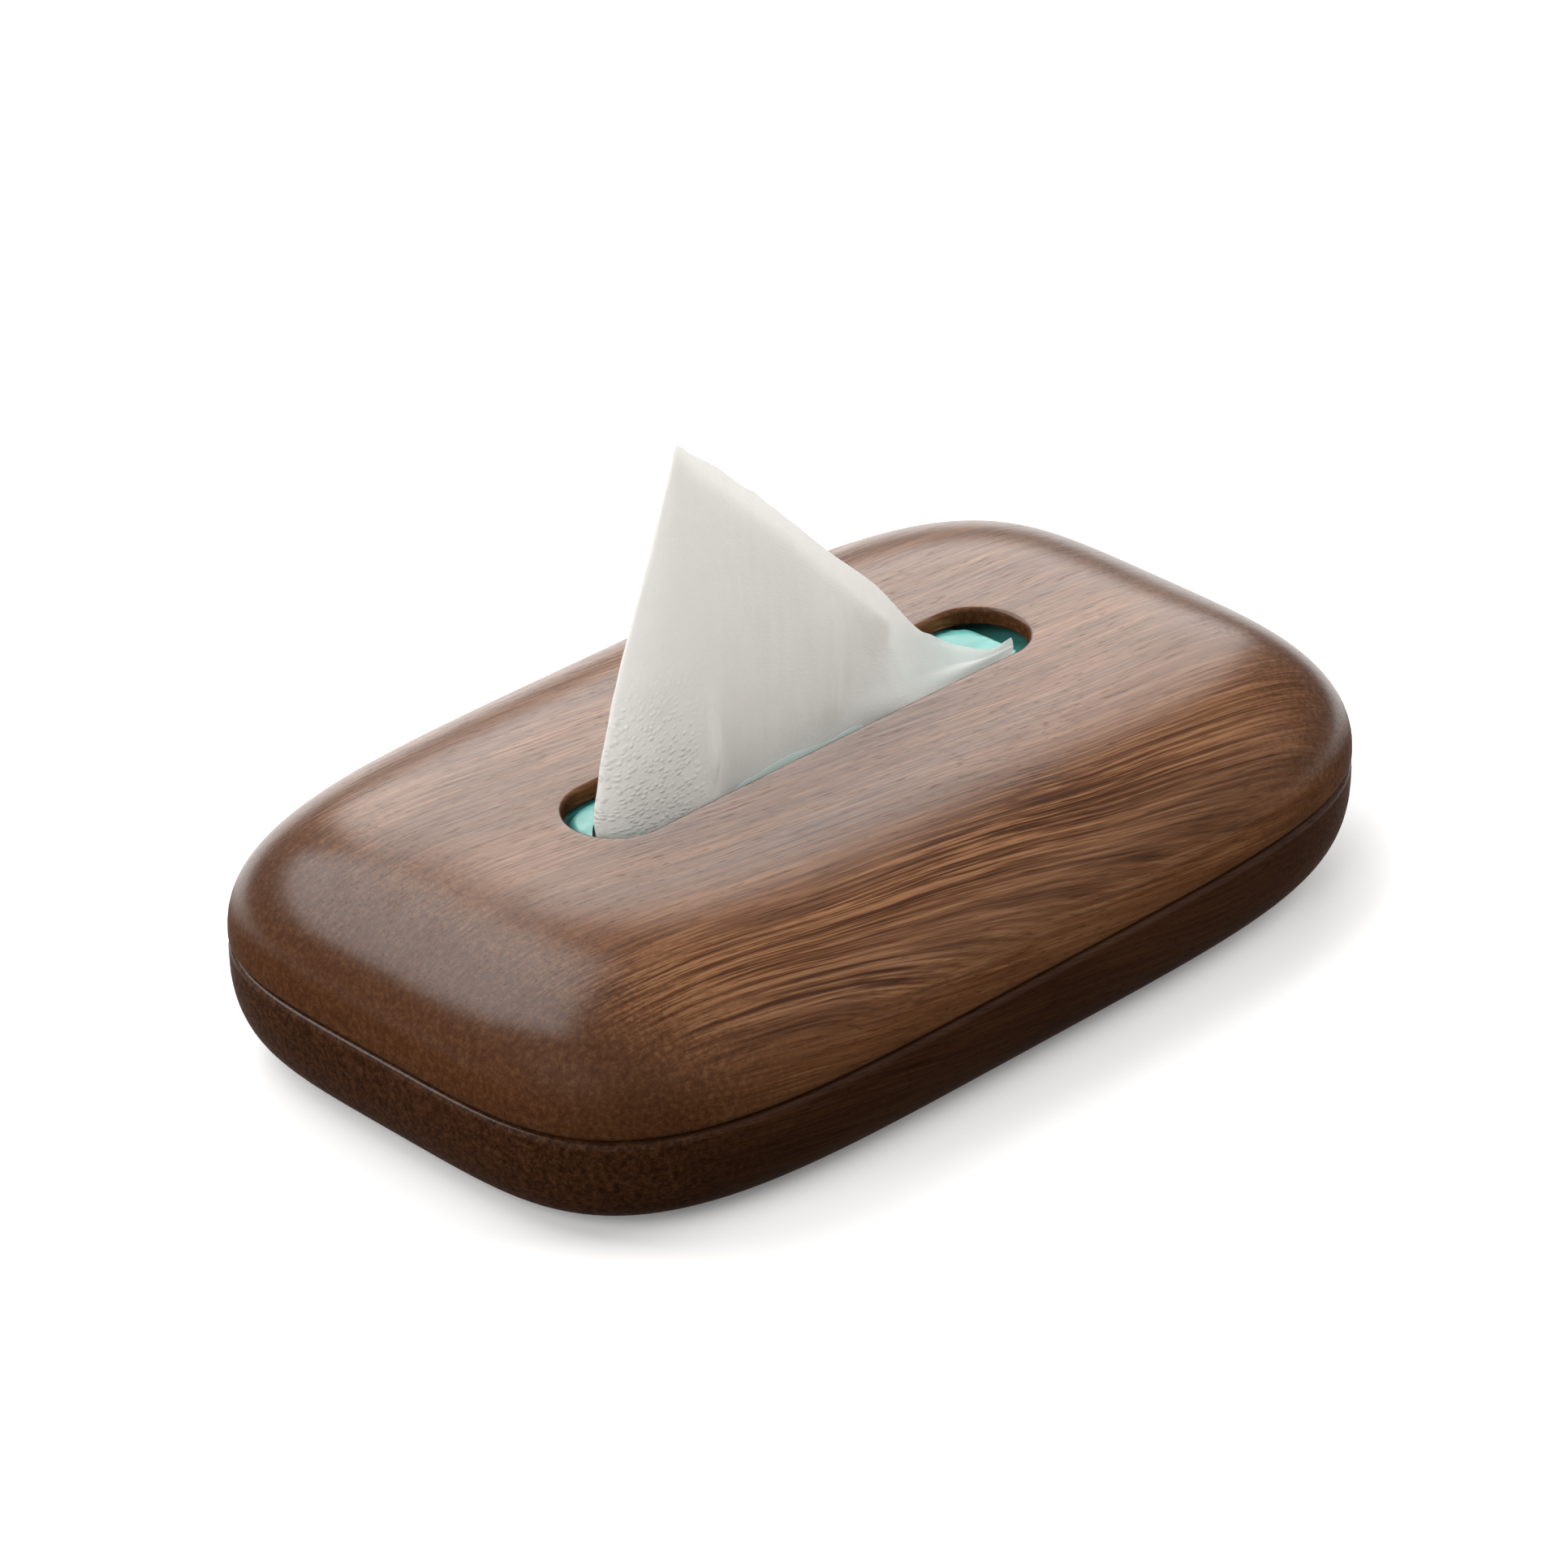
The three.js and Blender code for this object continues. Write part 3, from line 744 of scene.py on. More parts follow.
def film_material(finish):
    """Mint film, paler where it lies slack and nearly white where it stretches over its lip."""
    material, kit, shader = new_material("mint_film")
    haze = kit.shared("fine grit", {"Vector": kit.place(), "Scale": 420.0})
    pale = kit.contrast(haze["Clouds"], 0.35, 0.72)
    tone = kit.mix(pale, finish.film_tint, finish.film_pale)
    looks = {
        "Base Color": kit.mix(kit.attribute("stretch"), tone, finish.film_lip),
        "Roughness": kit.scaled(haze["Grit"], 0.18, 0.22),
        "Subsurface Weight": 0.1,
        "Subsurface Scale": 2.0 * MM,
    }
    kit.wire(shader, looks)
    kit.bump(shader, haze["Clouds"], 0.35, 0.9 * MM)
    return material


# The pieces


class TISSUE_CASE_OT_cover(bpy.types.Operator):
    """Models the walnut cover: rounded rim, rolled shoulders, slot, ceiling and rebate"""

    bl_idname = "tissue_case.cover"
    bl_label = "Walnut Cover"

    SHOULDER_STEPS = 26
    CEILING_STEPS = 14
    TOP_STEPS = 8
    SLOT_STEPS = 6
    # How far the rim stands over the tray's, and how far above the waist the ceiling's roll starts
    RIM_GAP = 0.3 * MM
    CEILING_START = 1.5 * MM
    # The eased lower edge of the slot, and the ceiling's flat round it
    SLOT_EASE = 0.6 * MM
    SLOT_FLAT = 4 * MM
    END_SHADE = 0.75

    def execute(self, context):
        form = context.scene.tissue_case_form
        rim, top = COVER_LOW.z, COVER_HIGH.z
        waist = rim + form.seam_round + form.waist_band
        ceiling = top - form.ceiling
        piece = start_piece(
            "walnut_cover", COVER_HIGH, form.seam_round, rim, form.plan_power, CASE_POINTS
        )
        for rise, run in quarter_round(ROUND, RIM_STEPS):
            pull_inset(COVER_HIGH, form.seam_round * (1 - rise), rim + form.seam_round * run)
        pull_inset(COVER_HIGH, 0.0, waist)
        self.roll_in(form, 0.0, 0.0, waist, top - form.crown, self.SHOULDER_STEPS)
        self.cut_slot(form, top, ceiling)
        self.line_inside(form, rim, waist + self.CEILING_START, ceiling)
        middle = (rim + ceiling) / 2
        bridge_open_edges(lambda p: p.z > middle)
        bridge_open_edges(lambda p: p.z < middle)
        leave_mesh()
        shade(piece)
        magnets = [f"cover_magnet_{i}" for i in CORNERS]
        deep = rim + form.magnet_pocket_depth
        cut_pockets(piece, magnets, form.magnet_pocket, rim - CUTTER_CLEAR, deep)
        shade(piece)
        mark_faces(piece)
        finish = context.scene.tissue_case_finish
        tones = finish.walnut_dark, finish.walnut_middle, finish.walnut_light
        wood = walnut_material("cover_walnut", *tones, self.END_SHADE)
        finish_piece(piece, "cover", "walnut", wood, "upper_cover")
        return {"FINISHED"}

    def roll_in(self, form, wall, ease, low, high, steps):
        """Rolls the side over from upright to the level top."""
        for rise, run in quarter_round(form.shoulder_power, steps):
            pull_ring(
                COVER_HIGH.x - wall - (form.shoulder_run_x - ease) * run,
                COVER_HIGH.y - wall - (form.shoulder_run_y - ease) * run,
                low + (high - low) * rise,
            )

    def cut_slot(self, form, top, ceiling):
        """Carries the top in to the slot's rounded edge, and its wall down to the ceiling."""
        radius, reach = slot_size(form)
        flat_x, flat_y, _ = selected_size()
        power = form.plan_power

        def crowned(p):
            out = (abs(p.x / flat_x) ** power + abs(p.y / flat_y) ** power) ** (1 / power)
            return Vector((p.x, p.y, top - form.crown * min(out, 1.0) ** 2))

        def towards_slot(p, share):
            return crowned(p.lerp(stadium_point(p, reach, radius + form.slot_round), share))

        for left in range(self.TOP_STEPS, 0, -1):
            pull_points(lambda p: towards_slot(p, 1 / left))
        for i in range(1, self.SLOT_STEPS + 1):
            before, now = (math.pi / 2 * k / self.SLOT_STEPS for k in (i - 1, i))
            drop = form.slot_round * (math.cos(before) - math.cos(now))
            out = radius + form.slot_round * (1 - math.sin(now))
            pull_points(lambda p: stadium_point(p, reach, out) - Vector((0.0, 0.0, drop)))
        ease = self.SLOT_EASE
        pull_points(lambda p: Vector((p.x, p.y, ceiling + ease)))
        pull_points(lambda p: stadium_point(Vector((p.x, p.y, ceiling)), reach, radius + ease))

    def line_inside(self, form, rim, base, ceiling):
        """The rebate, the inner wall and the rolled ceiling, up to a flat round the slot."""
        wide = form.wall - form.lip_width - form.lip_fit
        rebate = rim - self.RIM_GAP + form.lip_height + form.lip_fit
        draw_ring(COVER_HIGH, wide, rim + HAIR, form.cavity_power, CASE_POINTS)
        for inset, z in ((wide, rebate), (form.wall, rebate), (form.wall, base)):
            pull_inset(COVER_HIGH, inset, z)
        self.roll_in(form, form.wall, form.shoulder_ease, base, ceiling, self.CEILING_STEPS)
        radius, reach = slot_size(form)
        flat = radius + self.SLOT_FLAT
        pull_points(lambda p: stadium_point(Vector((p.x, p.y, ceiling + HAIR)), reach, flat))


class TISSUE_CASE_OT_tray(bpy.types.Operator):
    """Models the walnut tray: keel, sole, rounded rim, locating lip and cavity"""

    bl_idname = "tissue_case.tray"
    bl_label = "Walnut Tray"

    KEEL_STEPS = 20
    FLOOR_STEPS = 10
    LIP_EASE = 0.4 * MM
    # The tray's end grain is not darkened, so its ends stay lighter than its front and sides, whose
    # dark tone is painted shade
    END_SHADE = 0.0

    def execute(self, context):
        form = context.scene.tissue_case_form
        sole = TRAY_LOW.z
        rim = TRAY_HIGH.z - form.lip_height
        band = rim - form.seam_round - form.waist_band
        piece = start_piece(
            "walnut_tray", TRAY_HIGH, form.keel_run, sole, form.plan_power, CASE_POINTS
        )
        for rise, run in quarter_back(form.keel_power, self.KEEL_STEPS):
            pull_inset(TRAY_HIGH, form.keel_run * run, band - (band - sole) * rise)
        pull_inset(TRAY_HIGH, 0.0, rim - form.seam_round)
        for rise, run in quarter_round(ROUND, RIM_STEPS):
            pull_inset(TRAY_HIGH, form.seam_round * run, rim - form.seam_round * (1 - rise))
        self.line_inside(form, rim, sole + form.floor)
        bridge_open_edges(lambda p: abs(p.z - rim) < 2 * HAIR)
        cap_open_edges(lambda p: abs(p.z - sole) < NEAR)
        cap_open_edges(lambda p: abs(p.z - sole - form.floor) < NEAR)
        leave_mesh()
        shade(piece)
        magnets = [f"tray_magnet_{i}" for i in CORNERS]
        feet = [f"foot_pad_{i}" for i in CORNERS]
        deep = rim - form.magnet_pocket_depth
        cut_pockets(piece, magnets, form.magnet_pocket, deep, rim + CUTTER_CLEAR)
        deep = sole + form.foot_pocket_depth
        cut_pockets(piece, feet, form.foot_pocket, sole - CUTTER_CLEAR, deep)
        shade(piece)
        mark_faces(piece)
        finish = context.scene.tissue_case_finish
        # Painted shade: the tray's tones are darker than the cover's for the shade under the case,
        # beyond a darker board
        tones = finish.tray_shaded_dark, finish.tray_shaded_middle, finish.tray_shaded_light
        wood = walnut_material("tray_walnut_painted_shade", *tones, self.END_SHADE)
        finish_piece(piece, "base", "walnut", wood, "base_tray")
        return {"FINISHED"}

    def line_inside(self, form, rim, floor):
        """The lip with eased edges, the inner wall and the rounded floor edge."""
        outer, ease = form.wall - form.lip_width, self.LIP_EASE
        lip = rim + form.lip_height
        draw_ring(TRAY_HIGH, outer, rim + HAIR, form.cavity_power, CASE_POINTS)
        for inset, z in (
            (outer, lip - ease),
            (outer + ease, lip),
            (form.wall - ease, lip),
            (form.wall, lip - ease),
            (form.wall, floor + form.floor_round),
        ):
            pull_inset(TRAY_HIGH, inset, z)
        for rise, run in quarter_round(ROUND, self.FLOOR_STEPS):
            inset = form.wall + form.floor_round * run
            pull_inset(TRAY_HIGH, inset, floor + form.floor_round * (1 - rise))


def round_discs(name, nodes, body, slot, material, ease, dish):
    """One bevelled disc with dished faces, modelled once and copied to each node's place."""
    low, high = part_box(nodes[0])
    radius = (high.x - low.x) / 2
    first = add_disc(name, 2 * radius, high.z - low.z)
    bpy.ops.object.mode_set(mode="EDIT")
    select_only("EDGE", lambda e: e.verts[0].co.z * e.verts[1].co.z > 0)
    bpy.ops.mesh.bevel(offset=ease, segments=BEVEL_STEPS, affect="EDGES")
    select_only("FACE", lambda f: len(f.verts) == DISC_POINTS)
    bpy.ops.mesh.inset(thickness=radius * DISH_INSET, depth=0.0)
    bpy.ops.mesh.inset(thickness=radius * DISH_SLOPE, depth=-dish)
    bpy.ops.object.mode_set(mode="OBJECT")
    shade(first)
    for i, node in enumerate(nodes):
        pick(first)
        if i + 1 < len(nodes):
            bpy.ops.object.duplicate()
        piece = bpy.context.object
        piece.name = piece.data.name = f"{name}_{i + 1}"
        piece.location = node_middle(node)
        pick(piece)
        bpy.ops.object.transform_apply(location=True, rotation=True, scale=True)
        finish_piece(piece, body, slot, material, node)


class TISSUE_CASE_OT_magnets(bpy.types.Operator):
    """Models the nickel-plated disc magnets of both rims"""

    bl_idname = "tissue_case.magnets"
    bl_label = "Magnets"

    EASE = 0.3 * MM
    DISH = 0.03 * MM

    def execute(self, context):
        plate = nickel_material(context.scene.tissue_case_finish.nickel)
        for part, body in (("cover", "cover"), ("tray", "base")):
            nodes = [f"{part}_magnet_{i}" for i in CORNERS]
            name = f"{part}_disc_magnet"
            round_discs(name, nodes, body, "nickel", plate, self.EASE, self.DISH)
        return {"FINISHED"}


class TISSUE_CASE_OT_feet(bpy.types.Operator):
    """Models the silicone feet"""

    bl_idname = "tissue_case.feet"
    bl_label = "Feet"

    EASE = 0.35 * MM
    DISH = 0.12 * MM

    def execute(self, context):
        skin = silicone_material(context.scene.tissue_case_finish.silicone)
        nodes = [f"foot_pad_{i}" for i in CORNERS]
        round_discs("silicone_foot", nodes, "base", "silicone", skin, self.EASE, self.DISH)
        return {"FINISHED"}


def pillow(name, refill, low, half, count, steps):
    """The pack's pillow form from its bottom ring to its top ring, left in edit mode there."""
    piece = start_piece(name, half, refill.heel, low, refill.pack_power, count)
    sides = steps // 2
    for rise, run in quarter_back(ROUND, sides):
        pull_inset(half, refill.heel * run, low + refill.heel * (1 - rise))
    shoulder = half.z - refill.shoulder_rise
    start = low + refill.heel
    for i in range(1, sides + 1):
        pull_inset(half, 0.0, start + (shoulder - start) * i / sides)
    for rise, run in quarter_round(ROUND, steps):
        pull_inset(half, refill.shoulder_run * run, shoulder + refill.shoulder_rise * rise)
    return piece


class TISSUE_CASE_OT_wrapper(bpy.types.Operator):
    """Models the film wrapper: a soft pillow whose torn mouth closes round the tissue"""

    bl_idname = "tissue_case.wrapper"
    bl_label = "Film Wrapper"

    # The mouth's outline in millimetres, from its right end along the back and round to the front
    MOUTH = (
        (53.4, -9.3), (43.0, -8.6), (31.0, -7.6), (22.0, -4.4), (9.0, -1.0), (-3.0, 1.5),
        (-18.0, 4.0), (-36.0, 5.1), (-50.0, 4.2), (-57.2, 0.9), (-59.75, -2.7), (-57.4, -6.1),
        (-51.7, -8.3), (-43.0, -9.9), (-34.2, -10.7), (-29.5, -9.5), (-20.0, -8.9), (-10.0, -8.8),
        (-1.5, -9.0), (8.5, -9.1), (16.5, -9.9), (30.0, -10.4), (46.0, -10.2),
    )
    SIDE_STEPS = 16
    MOUTH_CUTS = 28
    # The swell keeps off the slot's wall, and fades over a width
    SWELL_GAP = 0.6 * MM
    SWELL_FADE = 1.9 * MM
    LIP_REACH = 2.4 * MM
    # Limits along X and from the middle, in millimetres with the widths over which they fade
    SWELL_RIGHT = (60.0, 5.0)
    LIP_LEFT, LIP_RIGHT = (-37.0, 6.0), (13.0, 5.0)
    DIP_LEFT, DIP_RIGHT, DIP_SIDE = (55.0, 4.0), (78.0, 10.0), (19.0, 7.0)
    # Behind this place the lip stands up less, by a share
    LIP_FRONT, LIP_BACK_SHARE = -3 * MM, 0.3
    # The film's top, by the upward part of its normal
    LEVEL = (0.9, 0.08)
    # Waves a metre along each axis
    DRAWN_WAVES, FINE_WAVES, SWELL_WAVES = (34, 70, 60), (120, 210, 190), (90, 60, 0)

    def execute(self, context):
        refill = context.scene.tissue_refill_form
        low, high = WRAPPER_LOW.z, WRAPPER_HIGH.z
        piece = pillow("film_wrapper", refill, low, WRAPPER_HIGH, PACK_POINTS, self.SIDE_STEPS)
        self.draw_mouth(high + HAIR)
        bridge_open_edges(lambda p: p.z > high - HAIR, cuts=self.MOUTH_CUTS)
        cap_open_edges(lambda p: p.z < low + NEAR)
        lips = self.lip_points()
        leave_mesh()
        self.soften(piece, lips, refill, context.scene.tissue_case_form)
        thicken(piece, refill.film, -1.0)
        shade(piece, SOFT_ANGLE)
        film = film_material(context.scene.tissue_case_finish)
        finish_piece(piece, "base", "mint_film", film, "refill_wrapper")
        return {"FINISHED"}

    def draw_mouth(self, high):
        """Adds the mouth as a ring, with its points spread as those of the pack's ring are."""
        around = [v.co.copy() for v in edit_mesh().verts if v.select]
        around.sort(key=lambda p: (math.atan2(p.y, p.x) + HAIR) % math.tau)
        ring_shares = shares_along([*around, around[0]])
        outline = [Vector((x * MM, y * MM, high)) for x, y in (*self.MOUTH, self.MOUTH[0])]
        shares = shares_along(outline)
        draw_ring(Vector((1.0, 1.0, 0.0)), 0.0, 0.0, ROUND, PACK_POINTS)

        def place(p):
            turn = round(math.atan2(p.y, p.x) / math.tau * PACK_POINTS)
            return spline_point(outline, shares, ring_shares[turn % PACK_POINTS])

        move_selected(place)

    def lip_points(self):
        """The points of the torn edge, to be searched by place."""
        lips = kdtree.KDTree(PACK_POINTS)
        for point in edit_mesh().verts:
            if point.is_boundary:
                lips.insert(point.co, point.index)
        lips.balance()
        return lips

    def soften(self, piece, lips, refill, form):
        """Swells the film into the slot, turns its lips up and lays creases over it."""
        radius, reach = slot_size(form)
        points = piece.data.vertices
        normals = [v.normal.copy() for v in points]
        stretch = piece.data.attributes.new("stretch", "FLOAT", "POINT")
        for point, normal, pulled in zip(points, normals, stretch.data):
            p = point.co.copy()
            top = grown(normal.z, *self.LEVEL)
            drawn = noise.fractal(waves(p, self.DRAWN_WAVES), 0.8, 2.1, 4)
            fine = noise.noise(waves(p, self.FINE_WAVES))
            point.co = p + normal * refill.crease * (-abs(drawn) * 0.9 + 0.25 * fine - 0.15)
            spine = Vector((min(max(p.x, -reach), reach), 0.0, p.z))
            free = radius - (p - spine).length - self.SWELL_GAP
            inside = smooth_share(free / self.SWELL_FADE) * falling(p.x, *self.SWELL_RIGHT)
            uneven = noise.noise(waves(p, self.SWELL_WAVES, (0.0, 0.0, 3.0)))
            swell = refill.swell * inside * (0.9 + 0.14 * uneven)
            lip = smooth_share(1 - lips.find(p)[2] / self.LIP_REACH)
            lip *= 1.0 if p.y < self.LIP_FRONT else self.LIP_BACK_SHARE
            lip *= rising(p.x, *self.LIP_LEFT) * falling(p.x, *self.LIP_RIGHT)
            dip = rising(p.x, *self.DIP_LEFT) * falling(p.x, *self.DIP_RIGHT)
            dip *= refill.corner_dip * falling(abs(p.y), *self.DIP_SIDE)
            point.co.z += (swell + refill.lip_rise * lip * inside - dip) * top
            pulled.value = lip


class TISSUE_CASE_OT_folded_tissues(bpy.types.Operator):
    """Models the folded tissues that fill the wrapper"""

    bl_idname = "tissue_case.folded_tissues"
    bl_label = "Folded Tissues"

    SIDE_STEPS = 12
    # Each ring's share of the width of the ring outside it
    TOP_RINGS = (0.75, 0.5, 0.25, 0.1)
    # The hollow that drawn tissues leave under the mouth: its depth, how far down it goes, and its
    # side in millimetres with the width over which it fades
    HOLLOW, HOLLOW_DOWN, HOLLOW_SIDE = 3.4 * MM, 4 * MM, (34.0, 16.0)

    def execute(self, context):
        refill = context.scene.tissue_refill_form
        low, high = STACK_LOW.z, STACK_HIGH.z
        piece = pillow("folded_tissues", refill, low, STACK_HIGH, STACK_POINTS, self.SIDE_STEPS)
        for share in self.TOP_RINGS:
            narrow = (share + 0.2) / (share + 0.45)
            pull_points(lambda p: Vector((p.x * narrow, p.y * share, p.z)))
        cap_open_edges(lambda p: p.z > high - NEAR)
        cap_open_edges(lambda p: p.z < low + NEAR)
        leave_mesh()
        shade(piece)
        for point in piece.data.vertices:
            near_top = smooth_share(1 - (high - point.co.z) / self.HOLLOW_DOWN)
            point.co.z -= self.HOLLOW * near_top * falling(abs(point.co.y), *self.HOLLOW_SIDE)
        paper = paper_material("folded_paper", context.scene.tissue_case_finish, "Object")
        finish_piece(piece, "base", "folded_tissue", paper, "tissue_stack")
        return {"FINISHED"}


class TISSUE_CASE_OT_pulled_tissue(bpy.types.Operator):
    """Models the tissue that stands in the slot, from its gathered foot to its free edge"""

    bl_idname = "tissue_case.pulled_tissue"
    bl_label = "Pulled Tissue"

    # Across the sheet in millimetres, from its turned-back layer round the turned edge to the tail:
    # each column's place in the slot, a little above it and on the free edge
    COLUMNS = (
        ((21.0, -5.2, 52.8), (20.5, -4.6, 57.0), (21.5, -2.9, 68.5)),
        ((9.0, -1.9, 53.0), (9.0, -1.6, 60.0), (8.6, -1.2, 82.5)),
        ((-3.0, 0.6, 53.0), (-2.6, 0.6, 63.0), (-3.0, -0.4, 95.0)),
        ((-18.0, 3.0, 53.0), (-16.6, 2.9, 65.0), (-14.6, 0.2, 107.0)),
        ((-35.0, 4.1, 53.0), (-33.5, 3.9, 65.0), (-25.5, 0.7, 117.5)),
        ((-50.0, 3.3, 53.0), (-48.5, 3.0, 65.0), (-32.4, 0.9, 124.6)),
        ((-57.2, 0.1, 53.0), (-55.5, 0.0, 63.0), (-33.3, 0.3, 126.1)),
        ((-59.5, -2.7, 53.0), (-57.9, -2.3, 63.0), (-33.0, -0.1, 126.4)),
        ((-57.2, -5.8, 53.0), (-55.6, -5.0, 63.0), (-32.5, -0.3, 126.0)),
        ((-51.6, -8.0, 53.0), (-50.5, -7.3, 63.5), (-31.7, -0.5, 125.3)),
        ((-43.6, -9.3, 53.0), (-42.5, -8.7, 64.0), (-29.0, -0.8, 123.0)),
        ((-34.4, -10.2, 53.0), (-33.2, -9.2, 64.5), (-24.0, -1.0, 119.0)),
        ((-31.0, -8.6, 53.0), (-29.6, -8.2, 65.0), (-21.6, -1.1, 116.9)),
        ((-20.0, -8.2, 53.0), (-18.3, -7.2, 65.0), (-13.2, -1.4, 109.3)),
        ((-10.0, -8.1, 53.0), (-8.0, -7.1, 64.0), (-3.6, -1.8, 99.4)),
        ((-1.5, -8.3, 53.0), (1.2, -7.7, 63.0), (7.2, -2.2, 88.2)),
        ((8.5, -8.4, 52.8), (11.5, -6.6, 58.5), (19.0, -3.0, 77.0)),
        ((16.5, -9.2, 52.6), (20.5, -7.3, 57.0), (30.8, -2.3, 62.7)),
        ((24.0, -9.8, 52.4), (27.6, -7.4, 55.5), (35.6, -2.1, 59.1)),
        ((35.0, -9.9, 52.2), (37.0, -7.8, 53.7), (40.7, -3.5, 55.4)),
        ((45.0, -9.7, 52.0), (45.7, -9.1, 52.6), (47.4, -7.4, 53.0)),
        ((52.4, -9.3, 51.6), (52.9, -8.8, 52.3), (53.4, -7.9, 53.6)),
    )
    # The foot's level inside the pack, and its length as a share of the length in the slot
    FOOT_Z, FOOT_SHARE = 47.6 * MM, 0.985
    # How far up the sheet's rows the slot and the place above it lie
    ROW_SHARES = (0.0, 0.1, 0.26, 1.0)
    # Fineness along and up the sheet, and the sizes of its flat coordinates
    STEPS = (320, 130)
    FLAT = (0.17, 0.085)
    # The embossing's least share and its limits in millimetres with the widths over which they fade
    EMBOSS_LEAST, EMBOSS_TOP, EMBOSS_RIGHT = 0.12, (88.0, 26.0), (-35.0, 6.0)
    # The front layer's pleat and leaning ridge: place, then width and depth in millimetres
    FRONT = -4 * MM
    PLEAT_X, PLEAT_WIDE, PLEAT_DEEP, PLEAT_TOP = -33.0 * MM, 1.4, 1.6, (80.0, 18.0)
    RIDGE_Z, RIDGE_LEAN, RIDGE_WIDE, RIDGE_DEEP = 51 * MM, 0.16, 2.0, 0.8
    # The loose and the small creases: depth in millimetres, waves a metre along X and Z, and shift
    LOOSE_DEEP, LOOSE_WAVES, LOOSE_SHIFT = 0.4, (70, 40, 0), (0.0, 0.0, 2.3)
    SMALL_DEEP, SMALL_WAVES, SMALL_SHIFT = 0.10, (330, 130, 0), (0.0, 0.0, 7.1)
    # Shares up the sheet at which its creases start and ease, each with the width that this takes,
    # and what is left of the loose ones
    CREASE_START, CREASE_EASE, LOOSE_LEAST = (0.1, 0.12), (0.2, 0.55), 0.35
    # The free edge's flutter: height in millimetres, waves along the sheet and shift, the share up
    # the sheet at which it starts with its width, and how fast it grows from the first and last end
    FLUTTERS = ((0.7, 19.0, (0.7, 5.5)), (0.3, 52.0, (4.1, 1.5)))
    FLUTTER_START, FLUTTER_ENDS = (0.7, 0.3), (5, 6)

    def execute(self, context):
        columns, rows = self.STEPS
        grid = bpy.ops.mesh.primitive_grid_add
        piece = add_piece(
            "pulled_paper", grid, x_subdivisions=columns, y_subdivisions=rows, size=2.0
        )
        slot_line, low_line, free_edge = (
            [Vector(column[k]) * MM for column in self.COLUMNS] for k in range(3)
        )
        foot = [Vector((p.x * self.FOOT_SHARE, p.y, self.FOOT_Z)) for p in slot_line]
        shares = shares_along(low_line)
        rows_up = (foot, slot_line, low_line, free_edge)
        lines = [
            [spline_point(line, shares, i / columns) for line in rows_up]
            for i in range(columns + 1)
        ]
        emboss = piece.data.attributes.new("emboss", "FLOAT", "POINT")
        for point, pressed in zip(piece.data.vertices, emboss.data):
            u, v = (point.co.x + 1) / 2, (point.co.y + 1) / 2
            p = self.sheet_point(lines[round(u * columns)], u, v)
            point.co = p
            # The emboss share sets the dots' relief and also their painted highlight and shade
            low_left = falling(p.z, *self.EMBOSS_TOP) * falling(p.x, *self.EMBOSS_RIGHT)
            pressed.value = self.EMBOSS_LEAST + (1 - self.EMBOSS_LEAST) * low_left
        self.map_sheet(piece.data)
        thicken(piece, context.scene.tissue_refill_form.tissue, 0.0)
        bpy.ops.object.mode_set(mode="EDIT")
        leave_mesh()
        shade(piece, SOFT_ANGLE)
        paper = paper_material("drawn_paper", context.scene.tissue_case_finish, "UV")
        finish_piece(piece, "tissue", "tissue", paper, "pulled_tissue")
        # Thin paper passes the windows' glare, so the wood's sheen goes on in front of it
        piece.visible_glossy = False
        return {"FINISHED"}

    def sheet_point(self, line, u, v):
        """The sheet's place at shares along and up it, with its soft creases."""
        p = spline_point(line, self.ROW_SHARES, v)
        face = Vector((p.x, p.z, 0.0))
        loose = noise.fractal(waves(face, self.LOOSE_WAVES, self.LOOSE_SHIFT), 0.9, 2.0, 3)
        small = noise.noise(waves(face, self.SMALL_WAVES, self.SMALL_SHIFT))
        above = grown(v, *self.CREASE_START)
        lower = 1 - grown(v, *self.CREASE_EASE)
        loose *= self.LOOSE_DEEP * (self.LOOSE_LEAST + (1 - self.LOOSE_LEAST) * lower)
        shift = above * (loose + self.SMALL_DEEP * small)
        if p.y < self.FRONT:
            pleat = hump(p.x - self.PLEAT_X, self.PLEAT_WIDE) * falling(p.z, *self.PLEAT_TOP)
            ridge = hump(p.x - (p.z - self.RIDGE_Z) * self.RIDGE_LEAN, self.RIDGE_WIDE)
            shift -= above * (self.PLEAT_DEEP * pleat + self.RIDGE_DEEP * ridge)
        p.y += shift * MM
        flutter = sum(
            high * noise.noise(Vector((u * many, *place))) for high, many, place in self.FLUTTERS
        )
        first, last = self.FLUTTER_ENDS
        ends = smooth_share(u * first) * smooth_share((1 - u) * last)
        p.z += flutter * MM * grown(v, *self.FLUTTER_START) * ends
        return p

    def map_sheet(self, mesh):
        """Lays the sheet's own flat coordinates on it, in metres."""
        layer = mesh.uv_layers.active or mesh.uv_layers.new(name="flat_sheet")
        for loop in mesh.loops:
            at = layer.data[loop.index].uv
            layer.data[loop.index].uv = (at.x * self.FLAT[0], at.y * self.FLAT[1])


